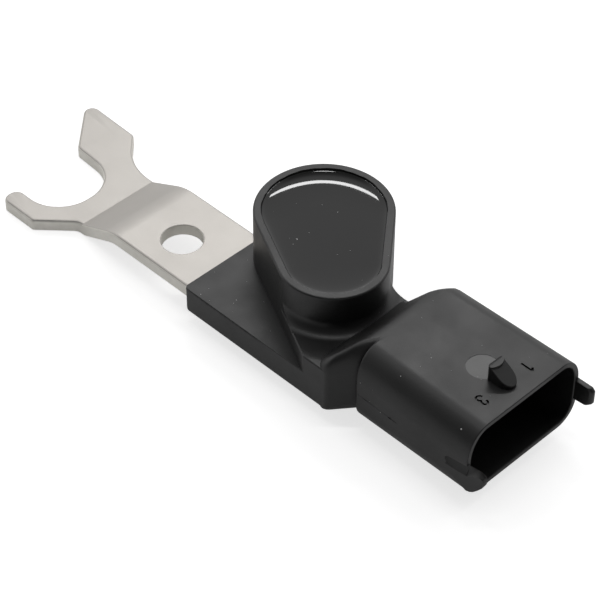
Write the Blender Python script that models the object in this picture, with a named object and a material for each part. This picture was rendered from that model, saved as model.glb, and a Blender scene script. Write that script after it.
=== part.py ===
"""Camshaft position sensor: forked steel plate, potted sensor head and three-way plug socket.

Driving dimensions are in millimetres in the part's own layout: X runs from the fork to the plug
socket, Y to the back, Z up, and zero is the bolt hole's axis at the plate's top face.
The meshes are written in metres, moved so that the origin is the middle of the object's
footprint, at its lowest level.
"""

import math

import bmesh
import bpy
from mathutils import Vector
from mathutils.geometry import tessellate_polygon

# Clearances
MOULD_GAP = 0.3
POTTING_GAP = 0.3
SOLDER_GAP = 0.3

# Mounting plate
PLATE_THICKNESS = 2.0
PLATE_WIDTH = 15.5
PLATE_FRONT_Y = -6.75
PLATE_BACK_Y = PLATE_FRONT_Y + PLATE_WIDTH
PLATE_TAIL_X = 31.0
BOLT_HOLE_RADIUS = 3.3
ANCHOR_HOLE_RADIUS = 2.5
ANCHOR_HOLE_X = 24.5
ANCHOR_HOLE_Y = 0.0
EDGE_ROLL_WIDTH = 0.45
EDGE_ROLL_DEPTH = 0.45

# Joggle between the plate and the fork
JOGGLE_START_X = -7.55
JOGGLE_DROP = 3.6
JOGGLE_ANGLE = math.radians(25.0)
JOGGLE_UPPER_RADIUS = 5.0
JOGGLE_LOWER_RADIUS = 3.0

# Fork, as seen from above
NECK_FRONT_START_X = -17.6
NECK_FRONT_START_Y = -6.2
FORK_BEND_X = -22.1
FORK_BEND_RADIUS = 10.6
POINTER_HEEL_X = -27.7
POINTER_HEEL_Y = 14.44
POINTER_LENGTH = 12.6
POINTER_TIP_X = POINTER_HEEL_X - POINTER_LENGTH
POINTER_TIP_Y = 14.95
POINTER_TIP_RADIUS = 1.4
POINTER_TOE_X = -31.65
POINTER_TOE_Y = 5.75
NOTCH_RIGHT_X = -20.9
NOTCH_WIDTH = 12.85
NOTCH_TOP_Y = 5.05
NOTCH_BOTTOM_Y = NOTCH_TOP_Y - NOTCH_WIDTH
NOTCH_RADIUS = 0.49 * NOTCH_WIDTH
HOOK_LENGTH = 9.65
HOOK_WIDTH = 3.35
HOOK_TIP_X = NOTCH_RIGHT_X - HOOK_LENGTH
HOOK_OUTER_Y = NOTCH_BOTTOM_Y - HOOK_WIDTH
HOOK_HEEL_X = NOTCH_RIGHT_X - 2.0
HOOK_TIP_RADIUS = 0.45 * HOOK_WIDTH

# Housing levels
HOUSING_BOTTOM_Z = -3.4
TONGUE_HEIGHT = 4.8
PEDESTAL_HEIGHT = 7.9
HEAD_HEIGHT = 14.4
TONGUE_TOP_Z = HOUSING_BOTTOM_Z + TONGUE_HEIGHT
PEDESTAL_TOP_Z = HOUSING_BOTTOM_Z + PEDESTAL_HEIGHT
HEAD_TOP_Z = HOUSING_BOTTOM_Z + HEAD_HEIGHT

# Head: two circles joined by their common tangents
HEAD_LARGE_X = 19.15
HEAD_LARGE_Y = 11.43
HEAD_LARGE_RADIUS = 10.6
HEAD_SMALL_RADIUS = 8.3
HEAD_CENTRE_DISTANCE = 11.25
HEAD_AXIS_ANGLE = math.radians(-38.6)
HEAD_SMALL_X = HEAD_LARGE_X + HEAD_CENTRE_DISTANCE * math.cos(HEAD_AXIS_ANGLE)
HEAD_SMALL_Y = HEAD_LARGE_Y + HEAD_CENTRE_DISTANCE * math.sin(HEAD_AXIS_ANGLE)
HEAD_WALL = 1.3
HEAD_RIM_ROUND = 0.3
HEAD_FILLET = 2.0
CUP_FLOOR_Z = 1.5

# Tongue and pedestal: the slab under the head, from the plate's side to the shoulder
TONGUE_LEFT_X = 9.2
TONGUE_LENGTH = 29.2
TONGUE_WIDTH = 18.15
TONGUE_CORNER_RADIUS = 0.8
PEDESTAL_WIDTH = 19.05
PEDESTAL_END_X = TONGUE_LEFT_X + TONGUE_LENGTH
HOUSING_FRONT_Y = -8.05
TONGUE_BACK_Y = HOUSING_FRONT_Y + TONGUE_WIDTH
PEDESTAL_BACK_Y = HOUSING_FRONT_Y + PEDESTAL_WIDTH
PLATE_SLOT_START_X = min(TONGUE_LEFT_X, HEAD_LARGE_X - HEAD_LARGE_RADIUS) - 1.5

# Shoulder between pedestal and plug socket
CREASE_RADIUS = 2.1
CREASE_X = PEDESTAL_END_X - CREASE_RADIUS
SHOULDER_LENGTH = 6.4
SHOULDER_SETBACK = 3.38
SHOULDER_BEND_RADIUS = 1.2
SHOULDER_TOP_RADIUS = 3.5
SHOULDER_BACK_START = 1.9
SHOULDER_ROOT_Z = PEDESTAL_TOP_Z - 0.5
SHOULDER_SLIP = 0.06
SHOULDER_FRONT_Y = HOUSING_FRONT_Y + SHOULDER_SETBACK

# Plug socket
SHROUD_LENGTH = 21.65
SHROUD_REAR_WIDTH = 22.4
SHROUD_REAR_HEIGHT = 12.85
SHROUD_MOUTH_WIDTH = 23.4
SHROUD_MOUTH_HEIGHT = 12.55
SHROUD_REAR_X = CREASE_X + SHOULDER_LENGTH
SHROUD_REAR_FRONT_Y = -6.05
SHROUD_REAR_BOTTOM_Z = -3.5
SHROUD_MOUTH_FRONT_Y = -6.65
SHROUD_MOUTH_BOTTOM_Z = -3.35
SHROUD_MOUTH_X = SHROUD_REAR_X + SHROUD_LENGTH
SHROUD_REAR_BACK_Y = SHROUD_REAR_FRONT_Y + SHROUD_REAR_WIDTH
SHROUD_REAR_TOP_Z = SHROUD_REAR_BOTTOM_Z + SHROUD_REAR_HEIGHT
SHROUD_MOUTH_BACK_Y = SHROUD_MOUTH_FRONT_Y + SHROUD_MOUTH_WIDTH
SHROUD_MOUTH_TOP_Z = SHROUD_MOUTH_BOTTOM_Z + SHROUD_MOUTH_HEIGHT
SHROUD_TOP_RADIUS_Y = 3.9
SHROUD_TOP_RADIUS_Z = 5.0
SHROUD_REAR_BOTTOM_RADIUS = 2.8
SHROUD_MOUTH_BOTTOM_RADIUS = 3.7
SHROUD_MOUTH_WALL = 0.85
SHROUD_ROOT_WALL = 1.3
SOCKET_DEPTH = 16.35
SOCKET_FLOOR_X = SHROUD_MOUTH_X - SOCKET_DEPTH
REAR_LIP_LENGTH = 0.7
REAR_LIP_WIDTH = 2.2
REAR_LIP_HEIGHT = 2.5

# Guide bars beside the mouth
GUIDE_LENGTH = 6.9
GUIDE_OVERHANG = 3.05
GUIDE_THICKNESS = 0.9
GUIDE_HEIGHT = 4.0
GUIDE_FRONT_PROUD = 0.1
GUIDE_BACK_PROUD = 0.2
GUIDE_TIP_X = SHROUD_MOUTH_X + GUIDE_OVERHANG
GUIDE_START_X = GUIDE_TIP_X - GUIDE_LENGTH
GUIDE_ROOT_BOTTOM_Z = 0.1
GUIDE_TIP_BOTTOM_Z = 0.6
GUIDE_TOP_Z = GUIDE_ROOT_BOTTOM_Z + GUIDE_HEIGHT
GUIDE_CHAMFER = 0.75
GUIDE_LEAD_IN = 0.4

# Latch lug on top of the socket
LUG_RADIUS = 2.1
LUG_HEIGHT = 2.6
LUG_RAMP_HEIGHT = 1.9
LUG_CENTRE_X = SHROUD_MOUTH_X - 4.25
LUG_CENTRE_Y = 5.1
LUG_REAR_X = LUG_CENTRE_X - 1.6
LUG_FLAT_END_X = LUG_CENTRE_X - 0.85
LUG_TOP_Z = SHROUD_MOUTH_TOP_Z + LUG_HEIGHT
LUG_NOSE_Z = LUG_TOP_Z - LUG_RAMP_HEIGHT
LUG_ROOT_Z = SHROUD_MOUTH_TOP_Z - 0.6

# Terminals
TERMINAL_PITCH = 5.0
TAIL_PITCH = 3.3
TERMINAL_Y = [LUG_CENTRE_Y + TERMINAL_PITCH * k for k in (-1, 0, 1)]
TAIL_Y = [LUG_CENTRE_Y + TAIL_PITCH * k for k in (-1, 0, 1)]
BLADE_LENGTH = 11.0
BLADE_REACH = 8.0
BLADE_WIDTH = 2.8
BLADE_THICKNESS = 0.8
BLADE_TIP_X = SOCKET_FLOOR_X + BLADE_REACH
BLADE_TIP_WIDTH = 1.8
BLADE_TIP_THICKNESS = 0.35
BLADE_TIP_LENGTH = 1.0
BLADE_CENTRE_Z = 2.9
BLADE_ROOT_X = BLADE_TIP_X - BLADE_LENGTH
BLADE_SHOULDER = 0.8
TAIL_STRAIGHT_X = SHROUD_REAR_X - 3.2
TAIL_WIDTH = 1.2
TAIL_X = HEAD_SMALL_X + 0.56
TAIL_BEND_RADIUS = 1.1
TAIL_TOP_Z = 6.3

# Board and its parts
BOARD_INSET = 2.6
BOARD_BOTTOM_Z = 4.5
BOARD_THICKNESS = 0.8
BOARD_HOLE_RADIUS = 1.05
BOSS_RADIUS = 0.9
CHIP_LENGTH = 2.0
CHIP_WIDTH = 1.25
CHIP_HEIGHT = 0.9

# Places on the board, as shares of the head's large radius from its centre
BOSS_SHARES = ((-0.71, 0.11), (0.27, -0.805), (0.7, 0.165))
CAPACITOR_SHARES = ((-0.355, -0.115), (-0.05, -0.455), (0.42, -0.19))
RESISTOR_SHARE = (0.0, 0.11)

# Well in the cup floor, with the Hall switch under its magnet
WELL_LENGTH = 0.85 * HEAD_LARGE_RADIUS
WELL_WIDTH = 0.755 * HEAD_LARGE_RADIUS
WELL_X = HEAD_LARGE_X
WELL_Y = HEAD_LARGE_Y + 0.355 * HEAD_LARGE_RADIUS
WELL_FLOOR_Z = -2.3
CARRIER_WALL = 1.2
MAGNET_SIDE = WELL_WIDTH - 4.0 * MOULD_GAP - 1.5 * CARRIER_WALL
MAGNET_HEIGHT = 3.0
HALL_LENGTH = MAGNET_SIDE - 0.9
HALL_WIDTH = HALL_LENGTH - 1.1
HALL_HEIGHT = 1.5
LEAD_PITCH = 1.27
LEAD_WIDTH = 0.4
LEAD_SLOT_WIDTH = 4.0
LEAD_PLANE_Y = WELL_Y + WELL_WIDTH / 2.0 - 0.85
CARRIER_TOP_Z = 3.9

# Casting resin in the cup
POTTING_DEPTH = 0.35
MENISCUS_HEIGHT = 0.5
MENISCUS_WIDTH = 3.2
POTTING_EDGE_Z = HEAD_TOP_Z - POTTING_DEPTH
POTTING_MIDDLE_Z = POTTING_EDGE_Z - MENISCUS_HEIGHT

DEGREE = math.radians(1.0)
ARC_STEP = 7.5 * DEGREE
BOARD_TOP_Z = BOARD_BOTTOM_Z + BOARD_THICKNESS


def unit(dx, dy):
    """Direction of length one."""
    length = math.hypot(dx, dy)
    return dx / length, dy / length


def rounded_outline(corners, inset=0.0, step=ARC_STEP):
    """Closed counter-clockwise outline with a circular fillet at each (x, y, radius) corner.

    A positive inset gives the parallel outline inside it, with the same number of points.
    """
    count = len(corners)
    lines = []
    for i in range(count):
        x0, y0, _ = corners[i]
        x1, y1, _ = corners[(i + 1) % count]
        dx, dy = unit(x1 - x0, y1 - y0)
        lines.append((x0 - dy * inset, y0 + dx * inset, dx, dy))
    points = []
    for i in range(count):
        ax, ay, adx, ady = lines[i - 1]
        bx, by, bdx, bdy = lines[i]
        cross = adx * bdy - ady * bdx
        along = ((bx - ax) * bdy - (by - ay) * bdx) / cross
        px = ax + adx * along
        py = ay + ady * along
        radius = corners[i][2]
        if radius == 0.0:
            points.append((px, py))
            continue
        turn = math.atan2(cross, adx * bdx + ady * bdy)
        radius = radius - inset if turn > 0 else radius + inset
        tangent = radius * math.tan(abs(turn) / 2.0)
        side = 1.0 if turn > 0 else -1.0
        cx = px - adx * tangent - ady * radius * side
        cy = py - ady * tangent + adx * radius * side
        start = math.atan2(-adx * side, ady * side)
        steps = max(2, math.ceil(abs(turn) / step))
        for k in range(steps + 1):
            angle = start + turn * k / steps
            points.append((cx + radius * math.cos(angle), cy + radius * math.sin(angle)))
    return points


def circle(cx, cy, radius, count=48):
    """Counter-clockwise circle."""
    turn = 2.0 * math.pi / count
    return [(cx + radius * math.cos(turn * k), cy + radius * math.sin(turn * k)) for k in range(count)]


def head_angles():
    """Direction of the head's long axis, and the angle from it to each tangent point."""
    spread = math.acos((HEAD_LARGE_RADIUS - HEAD_SMALL_RADIUS) / HEAD_CENTRE_DISTANCE)
    return HEAD_AXIS_ANGLE, spread


def on_circle(cx, cy, radius, angle):
    """Point of a circle at an angle."""
    return cx + radius * math.cos(angle), cy + radius * math.sin(angle)


def on_head(share):
    """Place in the head, given in shares of its large radius."""
    return HEAD_LARGE_X + HEAD_LARGE_RADIUS * share[0], HEAD_LARGE_Y + HEAD_LARGE_RADIUS * share[1]


BOSS_PLACES = [on_head(share) for share in BOSS_SHARES]
CAPACITOR_PLACES = [on_head(share) for share in CAPACITOR_SHARES]
RESISTOR_PLACE = on_head(RESISTOR_SHARE)


def head_outline(inset=0.0, step=ARC_STEP):
    """Egg outline of the head, or the parallel one inside it; starts at the small end's tangent."""
    axis, spread = head_angles()
    points = []
    arcs = (
        (HEAD_SMALL_X, HEAD_SMALL_Y, HEAD_SMALL_RADIUS, axis - spread, axis + spread),
        (HEAD_LARGE_X, HEAD_LARGE_Y, HEAD_LARGE_RADIUS, axis + spread, axis - spread + 2.0 * math.pi),
    )
    for cx, cy, radius, start, end in arcs:
        steps = math.ceil((end - start) / step)
        for k in range(steps + 1):
            angle = start + (end - start) * k / steps
            points.append(on_circle(cx, cy, radius - inset, angle))
    return points


def fork_shift():
    """How much longer the joggle is along the sheet than seen from above."""
    bends = JOGGLE_UPPER_RADIUS + JOGGLE_LOWER_RADIUS
    slope = (JOGGLE_DROP - bends * (1.0 - math.cos(JOGGLE_ANGLE))) / math.sin(JOGGLE_ANGLE)
    sheet = bends * JOGGLE_ANGLE + slope
    run = bends * math.sin(JOGGLE_ANGLE) + slope * math.cos(JOGGLE_ANGLE)
    return slope, sheet, run


def blank_corners(shift):
    """Corners of the plate before folding; everything left of the joggle moves by the shift."""
    return [
        (PLATE_TAIL_X, PLATE_FRONT_Y, 1.0),
        (PLATE_TAIL_X, PLATE_BACK_Y, 1.0),
        (FORK_BEND_X - shift, PLATE_BACK_Y + 0.1, FORK_BEND_RADIUS),
        (POINTER_HEEL_X - shift, POINTER_HEEL_Y, 0.8),
        (POINTER_TIP_X - shift, POINTER_TIP_Y, POINTER_TIP_RADIUS),
        (POINTER_TOE_X - shift, POINTER_TOE_Y, 1.2),
        (NOTCH_RIGHT_X - shift, NOTCH_TOP_Y, NOTCH_RADIUS),
        (NOTCH_RIGHT_X - shift, NOTCH_BOTTOM_Y, NOTCH_RADIUS),
        (HOOK_TIP_X - shift, NOTCH_BOTTOM_Y, HOOK_TIP_RADIUS),
        (HOOK_TIP_X - shift, HOOK_OUTER_Y, HOOK_TIP_RADIUS),
        (HOOK_HEEL_X - shift, HOOK_OUTER_Y, 0.6),
        (NECK_FRONT_START_X - shift, NECK_FRONT_START_Y, 2.0),
        (JOGGLE_START_X, PLATE_FRONT_Y, 0.0),
    ]


FOOTPRINT_LEFT_X = min(x for x, y in rounded_outline(blank_corners(0.0)))
FOOTPRINT_BACK_Y = HEAD_LARGE_Y + HEAD_LARGE_RADIUS
ORIGIN_X = (FOOTPRINT_LEFT_X + GUIDE_TIP_X) / 2.0
ORIGIN_Y = (HOOK_OUTER_Y + FOOTPRINT_BACK_Y) / 2.0
ORIGIN_Z = -JOGGLE_DROP - PLATE_THICKNESS


def metres(point):
    """A layout point in millimetres as a model point in metres."""
    x, y, z = point
    return Vector(((x - ORIGIN_X) * 0.001, (y - ORIGIN_Y) * 0.001, (z - ORIGIN_Z) * 0.001))


def clear_scene():
    """Remove everything that the scene starts with."""
    for item in list(bpy.data.objects):
        bpy.data.objects.remove(item, do_unlink=True)
    for mesh in list(bpy.data.meshes):
        bpy.data.meshes.remove(mesh)
    for material in list(bpy.data.materials):
        bpy.data.materials.remove(material)


def make_material(name, colour, roughness, metallic=0.0):
    """A Principled material."""
    material = bpy.data.materials.new(name)
    material.use_nodes = True
    shader = material.node_tree.nodes["Principled BSDF"]
    shader.inputs["Base Color"].default_value = (*colour, 1.0)
    shader.inputs["Roughness"].default_value = roughness
    shader.inputs["Metallic"].default_value = metallic
    return material


def add_object(name, mesh_builder):
    """Turn a bmesh into an object of the scene."""
    bmesh.ops.recalc_face_normals(mesh_builder, faces=mesh_builder.faces)
    mesh = bpy.data.meshes.new(name)
    mesh_builder.to_mesh(mesh)
    mesh_builder.free()
    item = bpy.data.objects.new(name, mesh)
    bpy.context.scene.collection.objects.link(item)
    return item


def dress(item, material, smooth_angle=30.0):
    """Give an object its material and shade its round faces smooth."""
    item.data.materials.clear()
    item.data.materials.append(material)
    item.data.shade_smooth()
    item.data.set_sharp_from_angle(angle=smooth_angle * DEGREE)
    return item


def stack(name, rings):
    """Closed body through a stack of rings with equal counts of (x, y, z) points."""
    builder = bmesh.new()
    rows = []
    for ring in rings:
        rows.append([builder.verts.new(metres(point)) for point in ring])
    for lower, upper in zip(rows, rows[1:]):
        for i in range(len(lower)):
            j = (i + 1) % len(lower)
            builder.faces.new((lower[i], lower[j], upper[j], upper[i]))
    builder.faces.new(list(reversed(rows[0])))
    builder.faces.new(rows[-1])
    return add_object(name, builder)


def prism(name, outline, bottom, top):
    """Straight body over an outline."""
    return stack(name, [[(x, y, z) for x, y in outline] for z in (bottom, top)])


def block(name, x_range, y_range, z_range):
    """Rectangular body."""
    x0, x1 = x_range
    y0, y1 = y_range
    return prism(name, [(x0, y0), (x1, y0), (x1, y1), (x0, y1)], *z_range)


def hull(name, points):
    """Convex body round a set of points."""
    builder = bmesh.new()
    for point in points:
        builder.verts.new(metres(point))
    result = bmesh.ops.convex_hull(builder, input=builder.verts)
    spare = {item for item in result["geom_interior"] if isinstance(item, bmesh.types.BMVert)}
    spare |= {item for item in result["geom_unused"] if isinstance(item, bmesh.types.BMVert)}
    bmesh.ops.delete(builder, geom=list(spare), context="VERTS")
    return add_object(name, builder)


def boolean(item, tool, operation):
    """Join, cut or trim an object with a tool object, which is hidden afterwards."""
    modifier = item.modifiers.new(tool.name, "BOOLEAN")
    modifier.object = tool
    modifier.operation = operation
    modifier.solver = "EXACT"
    tool.hide_render = True
    tool.display_type = "WIRE"
    return item


# Mounting plate


def edge_rings(outline_at, bottom=-PLATE_THICKNESS, top=0.0):
    """Rings down a stamped edge: rolled over at the top face, square at the bottom face."""
    rings = []
    steps = 3
    for k in range(steps + 1):
        angle = math.pi / 2.0 * k / steps
        inset = EDGE_ROLL_WIDTH * (1.0 - math.sin(angle))
        level = top - EDGE_ROLL_DEPTH * (1.0 - math.cos(angle))
        rings.append([(x, y, level) for x, y in outline_at(inset)])
    rings.append([(x, y, bottom) for x, y in outline_at(0.0)])
    return rings


def fold(point):
    """Carry a point of the flat blank over the two bends of the joggle."""
    x, y, z = point
    slope, sheet, run = fork_shift()
    travel = JOGGLE_START_X - x
    if travel <= 0.0:
        return x, y, z
    middle = z + PLATE_THICKNESS / 2.0
    upper = JOGGLE_UPPER_RADIUS * JOGGLE_ANGLE
    lower = JOGGLE_LOWER_RADIUS * JOGGLE_ANGLE
    if travel <= upper:
        angle = travel / JOGGLE_UPPER_RADIUS
        back = JOGGLE_UPPER_RADIUS * math.sin(angle)
        drop = JOGGLE_UPPER_RADIUS * (1.0 - math.cos(angle))
    elif travel <= upper + slope:
        angle = JOGGLE_ANGLE
        beyond = travel - upper
        back = JOGGLE_UPPER_RADIUS * math.sin(angle) + beyond * math.cos(angle)
        drop = JOGGLE_UPPER_RADIUS * (1.0 - math.cos(angle)) + beyond * math.sin(angle)
    elif travel <= upper + slope + lower:
        angle = (sheet - travel) / JOGGLE_LOWER_RADIUS
        back = run - JOGGLE_LOWER_RADIUS * math.sin(angle)
        drop = JOGGLE_DROP - JOGGLE_LOWER_RADIUS * (1.0 - math.cos(angle))
    else:
        angle = 0.0
        back = run + travel - sheet
        drop = JOGGLE_DROP
    px = JOGGLE_START_X - back - middle * math.sin(angle)
    pz = -PLATE_THICKNESS / 2.0 - drop + middle * math.cos(angle)
    return px, y, pz


def fold_stations():
    """Places across the blank with an edge along the bends."""
    slope, sheet, run = fork_shift()
    upper = JOGGLE_UPPER_RADIUS * JOGGLE_ANGLE
    lower = JOGGLE_LOWER_RADIUS * JOGGLE_ANGLE
    places = [JOGGLE_START_X - upper * k / 5 for k in range(6)]
    places += [JOGGLE_START_X - upper - slope - lower * k / 5 for k in range(6)]
    return places


def make_plate():
    """Stamped plate with its holes, fork and joggle."""
    slope, sheet, run = fork_shift()
    corners = blank_corners(sheet - run)
    loops = [
        edge_rings(lambda inset: rounded_outline(corners, inset)),
        edge_rings(lambda inset: circle(0.0, 0.0, BOLT_HOLE_RADIUS + inset)),
        edge_rings(lambda inset: circle(ANCHOR_HOLE_X, ANCHOR_HOLE_Y, ANCHOR_HOLE_RADIUS + inset, 32)),
    ]
    builder = bmesh.new()
    tops = []
    bottoms = []
    for rings in loops:
        rows = [[builder.verts.new(point) for point in ring] for ring in rings]
        for upper, lower in zip(rows, rows[1:]):
            for i in range(len(upper)):
                j = (i + 1) % len(upper)
                builder.faces.new((upper[i], upper[j], lower[j], lower[i]))
        tops.append(rows[0])
        bottoms.append(rows[-1])
    for rows in (tops, bottoms):
        flat = [vert for row in rows for vert in row]
        for triangle in tessellate_polygon([[vert.co for vert in row] for row in rows]):
            builder.faces.new([flat[i] for i in triangle])
    for place in fold_stations():
        bmesh.ops.bisect_plane(
            builder,
            geom=builder.verts[:] + builder.edges[:] + builder.faces[:],
            dist=0.0001,
            plane_co=(place, 0.0, 0.0),
            plane_no=(1.0, 0.0, 0.0),
        )
    for vert in builder.verts:
        vert.co = metres(fold(tuple(vert.co)))
    return add_object("mounting_plate", builder)


# Housing


def pedestal_corners():
    """Pedestal seen from above: its diagonal wall runs on from the head's flat side."""
    axis, spread = head_angles()
    angle = axis - spread
    x1, y1 = on_circle(HEAD_LARGE_X, HEAD_LARGE_Y, HEAD_LARGE_RADIUS, angle)
    x2, y2 = on_circle(HEAD_SMALL_X, HEAD_SMALL_Y, HEAD_SMALL_RADIUS, angle)
    reach = (HOUSING_FRONT_Y - y2) / (y2 - y1)
    x3 = x2 + (x2 - x1) * reach
    return [
        (x1, y1),
        (x2, y2),
        (x3, HOUSING_FRONT_Y),
        (PEDESTAL_END_X, HOUSING_FRONT_Y),
        (PEDESTAL_END_X, PEDESTAL_BACK_Y),
        (HEAD_LARGE_X, PEDESTAL_BACK_Y),
    ]


def make_tongue():
    """Slab of the housing round the plate's tail."""
    corners = [
        (TONGUE_LEFT_X, HOUSING_FRONT_Y, TONGUE_CORNER_RADIUS),
        (PEDESTAL_END_X, HOUSING_FRONT_Y, 0.0),
        (PEDESTAL_END_X, TONGUE_BACK_Y, 0.0),
        (TONGUE_LEFT_X, TONGUE_BACK_Y, TONGUE_CORNER_RADIUS),
    ]
    return prism("tongue", rounded_outline(corners, step=15 * DEGREE), HOUSING_BOTTOM_Z, TONGUE_TOP_Z)


def make_head():
    """Outer body of the head, with a rounded rim."""
    rings = [(0.0, HOUSING_BOTTOM_Z)]
    for k in range(4):
        angle = math.pi / 2.0 * k / 3
        inset = HEAD_RIM_ROUND * (1.0 - math.cos(angle))
        rings.append((inset, HEAD_TOP_Z - HEAD_RIM_ROUND * (1.0 - math.sin(angle))))
    return stack("head", [[(x, y, z) for x, y in head_outline(inset)] for inset, z in rings])


def make_fillet():
    """Hollow fillet round the foot of the head, kept inside the pedestal's outline."""
    rings = [(-HEAD_FILLET, PEDESTAL_TOP_Z - 1.0)]
    steps = 6
    for k in range(steps + 1):
        angle = math.pi / 2.0 * k / steps
        outset = HEAD_FILLET * (1.0 - math.sin(angle))
        rings.append((-outset, PEDESTAL_TOP_Z + HEAD_FILLET * (1.0 - math.cos(angle))))
    fillet = stack("fillet", [[(x, y, z) for x, y in head_outline(inset)] for inset, z in rings])
    bounds = prism("fillet_bounds", pedestal_corners(), PEDESTAL_TOP_Z - 0.5, HEAD_TOP_Z - 1.0)
    return boolean(fillet, bounds, "INTERSECT")


def section(x, size, low, top_radii, steps=8):
    """Section across X from its (front, back, bottom, top), with elliptical top corners."""
    front, back, bottom, top = size
    radius_y, radius_z = top_radii
    corners = (
        (front, bottom, low, low, 1, 1, 180),
        (back, bottom, low, low, -1, 1, 270),
        (back, top, radius_y, radius_z, -1, -1, 0),
        (front, top, radius_y, radius_z, 1, -1, 90),
    )
    ring = []
    for y, z, reach_y, reach_z, toward_y, toward_z, start in corners:
        cy = y + reach_y * toward_y
        cz = z + reach_z * toward_z
        for k in range(steps + 1):
            angle = (start + 90.0 * k / steps) * DEGREE
            ring.append((x, cy + reach_y * math.cos(angle), cz + reach_z * math.sin(angle)))
    return ring


def shroud_section(x, inset=0.0):
    """Section of the plug socket at a place along X."""
    share = (x - SHROUD_REAR_X) / (SHROUD_MOUTH_X - SHROUD_REAR_X)
    front = SHROUD_REAR_FRONT_Y + (SHROUD_MOUTH_FRONT_Y - SHROUD_REAR_FRONT_Y) * share
    back = SHROUD_REAR_BACK_Y + (SHROUD_MOUTH_BACK_Y - SHROUD_REAR_BACK_Y) * share
    bottom = SHROUD_REAR_BOTTOM_Z + (SHROUD_MOUTH_BOTTOM_Z - SHROUD_REAR_BOTTOM_Z) * share
    top = SHROUD_REAR_TOP_Z + (SHROUD_MOUTH_TOP_Z - SHROUD_REAR_TOP_Z) * share
    low = SHROUD_REAR_BOTTOM_RADIUS + (SHROUD_MOUTH_BOTTOM_RADIUS - SHROUD_REAR_BOTTOM_RADIUS) * share
    size = (front + inset, back - inset, bottom + inset, top - inset)
    return section(x, size, low - inset, (SHROUD_TOP_RADIUS_Y - inset, SHROUD_TOP_RADIUS_Z - inset))


def bend_angle(run, rise, radius):
    """Angle of a straight slope that gains the rise over the run, arc of the radius included."""
    return 2.0 * math.atan(rise / (run + math.sqrt(run * run - (2.0 * radius - rise) * rise)))


def shoulder_top(x):
    """Height of the shoulder: a straight slope that rounds over into the socket's top."""
    end = SHROUD_REAR_TOP_Z - SHOULDER_SLIP
    radius = SHOULDER_TOP_RADIUS
    angle = bend_angle(SHROUD_REAR_X - CREASE_X, end - PEDESTAL_TOP_Z, radius)
    away = SHROUD_REAR_X - x
    if away < radius * math.sin(angle):
        return end - radius + math.sqrt(radius * radius - away * away)
    return PEDESTAL_TOP_Z + (x - CREASE_X) * math.tan(angle)


def shoulder_front(x):
    """Front face of the shoulder: round at the crease, then falling back toward the socket."""
    start = CREASE_X + CREASE_RADIUS
    if x < start:
        share = min(1.0, (start - x) / CREASE_RADIUS)
        return HOUSING_FRONT_Y + CREASE_RADIUS * (1.0 - math.sqrt(1.0 - share * share))
    radius = SHOULDER_BEND_RADIUS
    angle = bend_angle(SHROUD_REAR_X - start, SHOULDER_SETBACK, radius)
    away = x - start
    if away < radius * math.sin(angle):
        return HOUSING_FRONT_Y + radius - math.sqrt(radius * radius - away * away)
    return SHOULDER_FRONT_Y - (SHROUD_REAR_X - x) * math.tan(angle)


def shoulder_section(x):
    """Section of the shoulder at a place along X, rounder toward the socket."""
    share = max(0.0, (x - CREASE_X) / (SHROUD_REAR_X - CREASE_X))
    start = CREASE_X + SHOULDER_BACK_START
    spread = max(0.0, (x - start) / (SHROUD_REAR_X - start))
    back = PEDESTAL_BACK_Y + (SHROUD_REAR_BACK_Y - SHOULDER_SLIP - PEDESTAL_BACK_Y) * spread
    top = shoulder_top(x)
    low = 0.3 + (SHROUD_REAR_BOTTOM_RADIUS - 0.3) * spread
    radius_y = 0.6 + (SHROUD_TOP_RADIUS_Y - SHOULDER_SLIP - 0.6) * share
    size = (shoulder_front(x), back, HOUSING_BOTTOM_Z, top)
    return section(x, size, low, (radius_y, top - SHOULDER_ROOT_Z), 6)


def make_shoulder():
    """Sloping neck between pedestal and plug socket."""
    stations = [CREASE_X - 0.3]
    steps = 6
    for k in range(steps + 1):
        turn = math.pi / 2.0 * k / steps
        stations.append(CREASE_X + CREASE_RADIUS * (1.0 - math.cos(turn)))
    start = stations[-1]
    for k in range(1, 8):
        stations.append(start + (SHROUD_REAR_X - start) * k / 7)
    rings = [shoulder_section(x) for x in stations]
    rings.append([(x + 1.0, y, z) for x, y, z in rings[-1]])
    return stack("shoulder", rings)


def make_shroud():
    """Outer body of the plug socket."""
    return stack("shroud", [shroud_section(SHROUD_REAR_X), shroud_section(SHROUD_MOUTH_X)])


def make_guide(name, outer_y, inward):
    """Guide bar beside the mouth; inward is the side that faces the socket's middle."""
    inner_y = outer_y + GUIDE_THICKNESS * inward
    rings = []
    for y, lead in ((outer_y, 0.15), (outer_y + 0.2 * inward, 0.0), (inner_y, GUIDE_LEAD_IN)):
        tip = GUIDE_TIP_X - lead
        rings.append(
            [
                (GUIDE_START_X, y, GUIDE_ROOT_BOTTOM_Z),
                (tip - GUIDE_CHAMFER, y, GUIDE_TIP_BOTTOM_Z),
                (tip, y, GUIDE_TIP_BOTTOM_Z + GUIDE_CHAMFER),
                (tip, y, GUIDE_TOP_Z - 0.5),
                (tip - 0.15, y, GUIDE_TOP_Z - 0.15),
                (tip - 0.5, y, GUIDE_TOP_Z),
                (GUIDE_START_X, y, GUIDE_TOP_Z),
            ]
        )
    return stack(name, rings)


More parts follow.
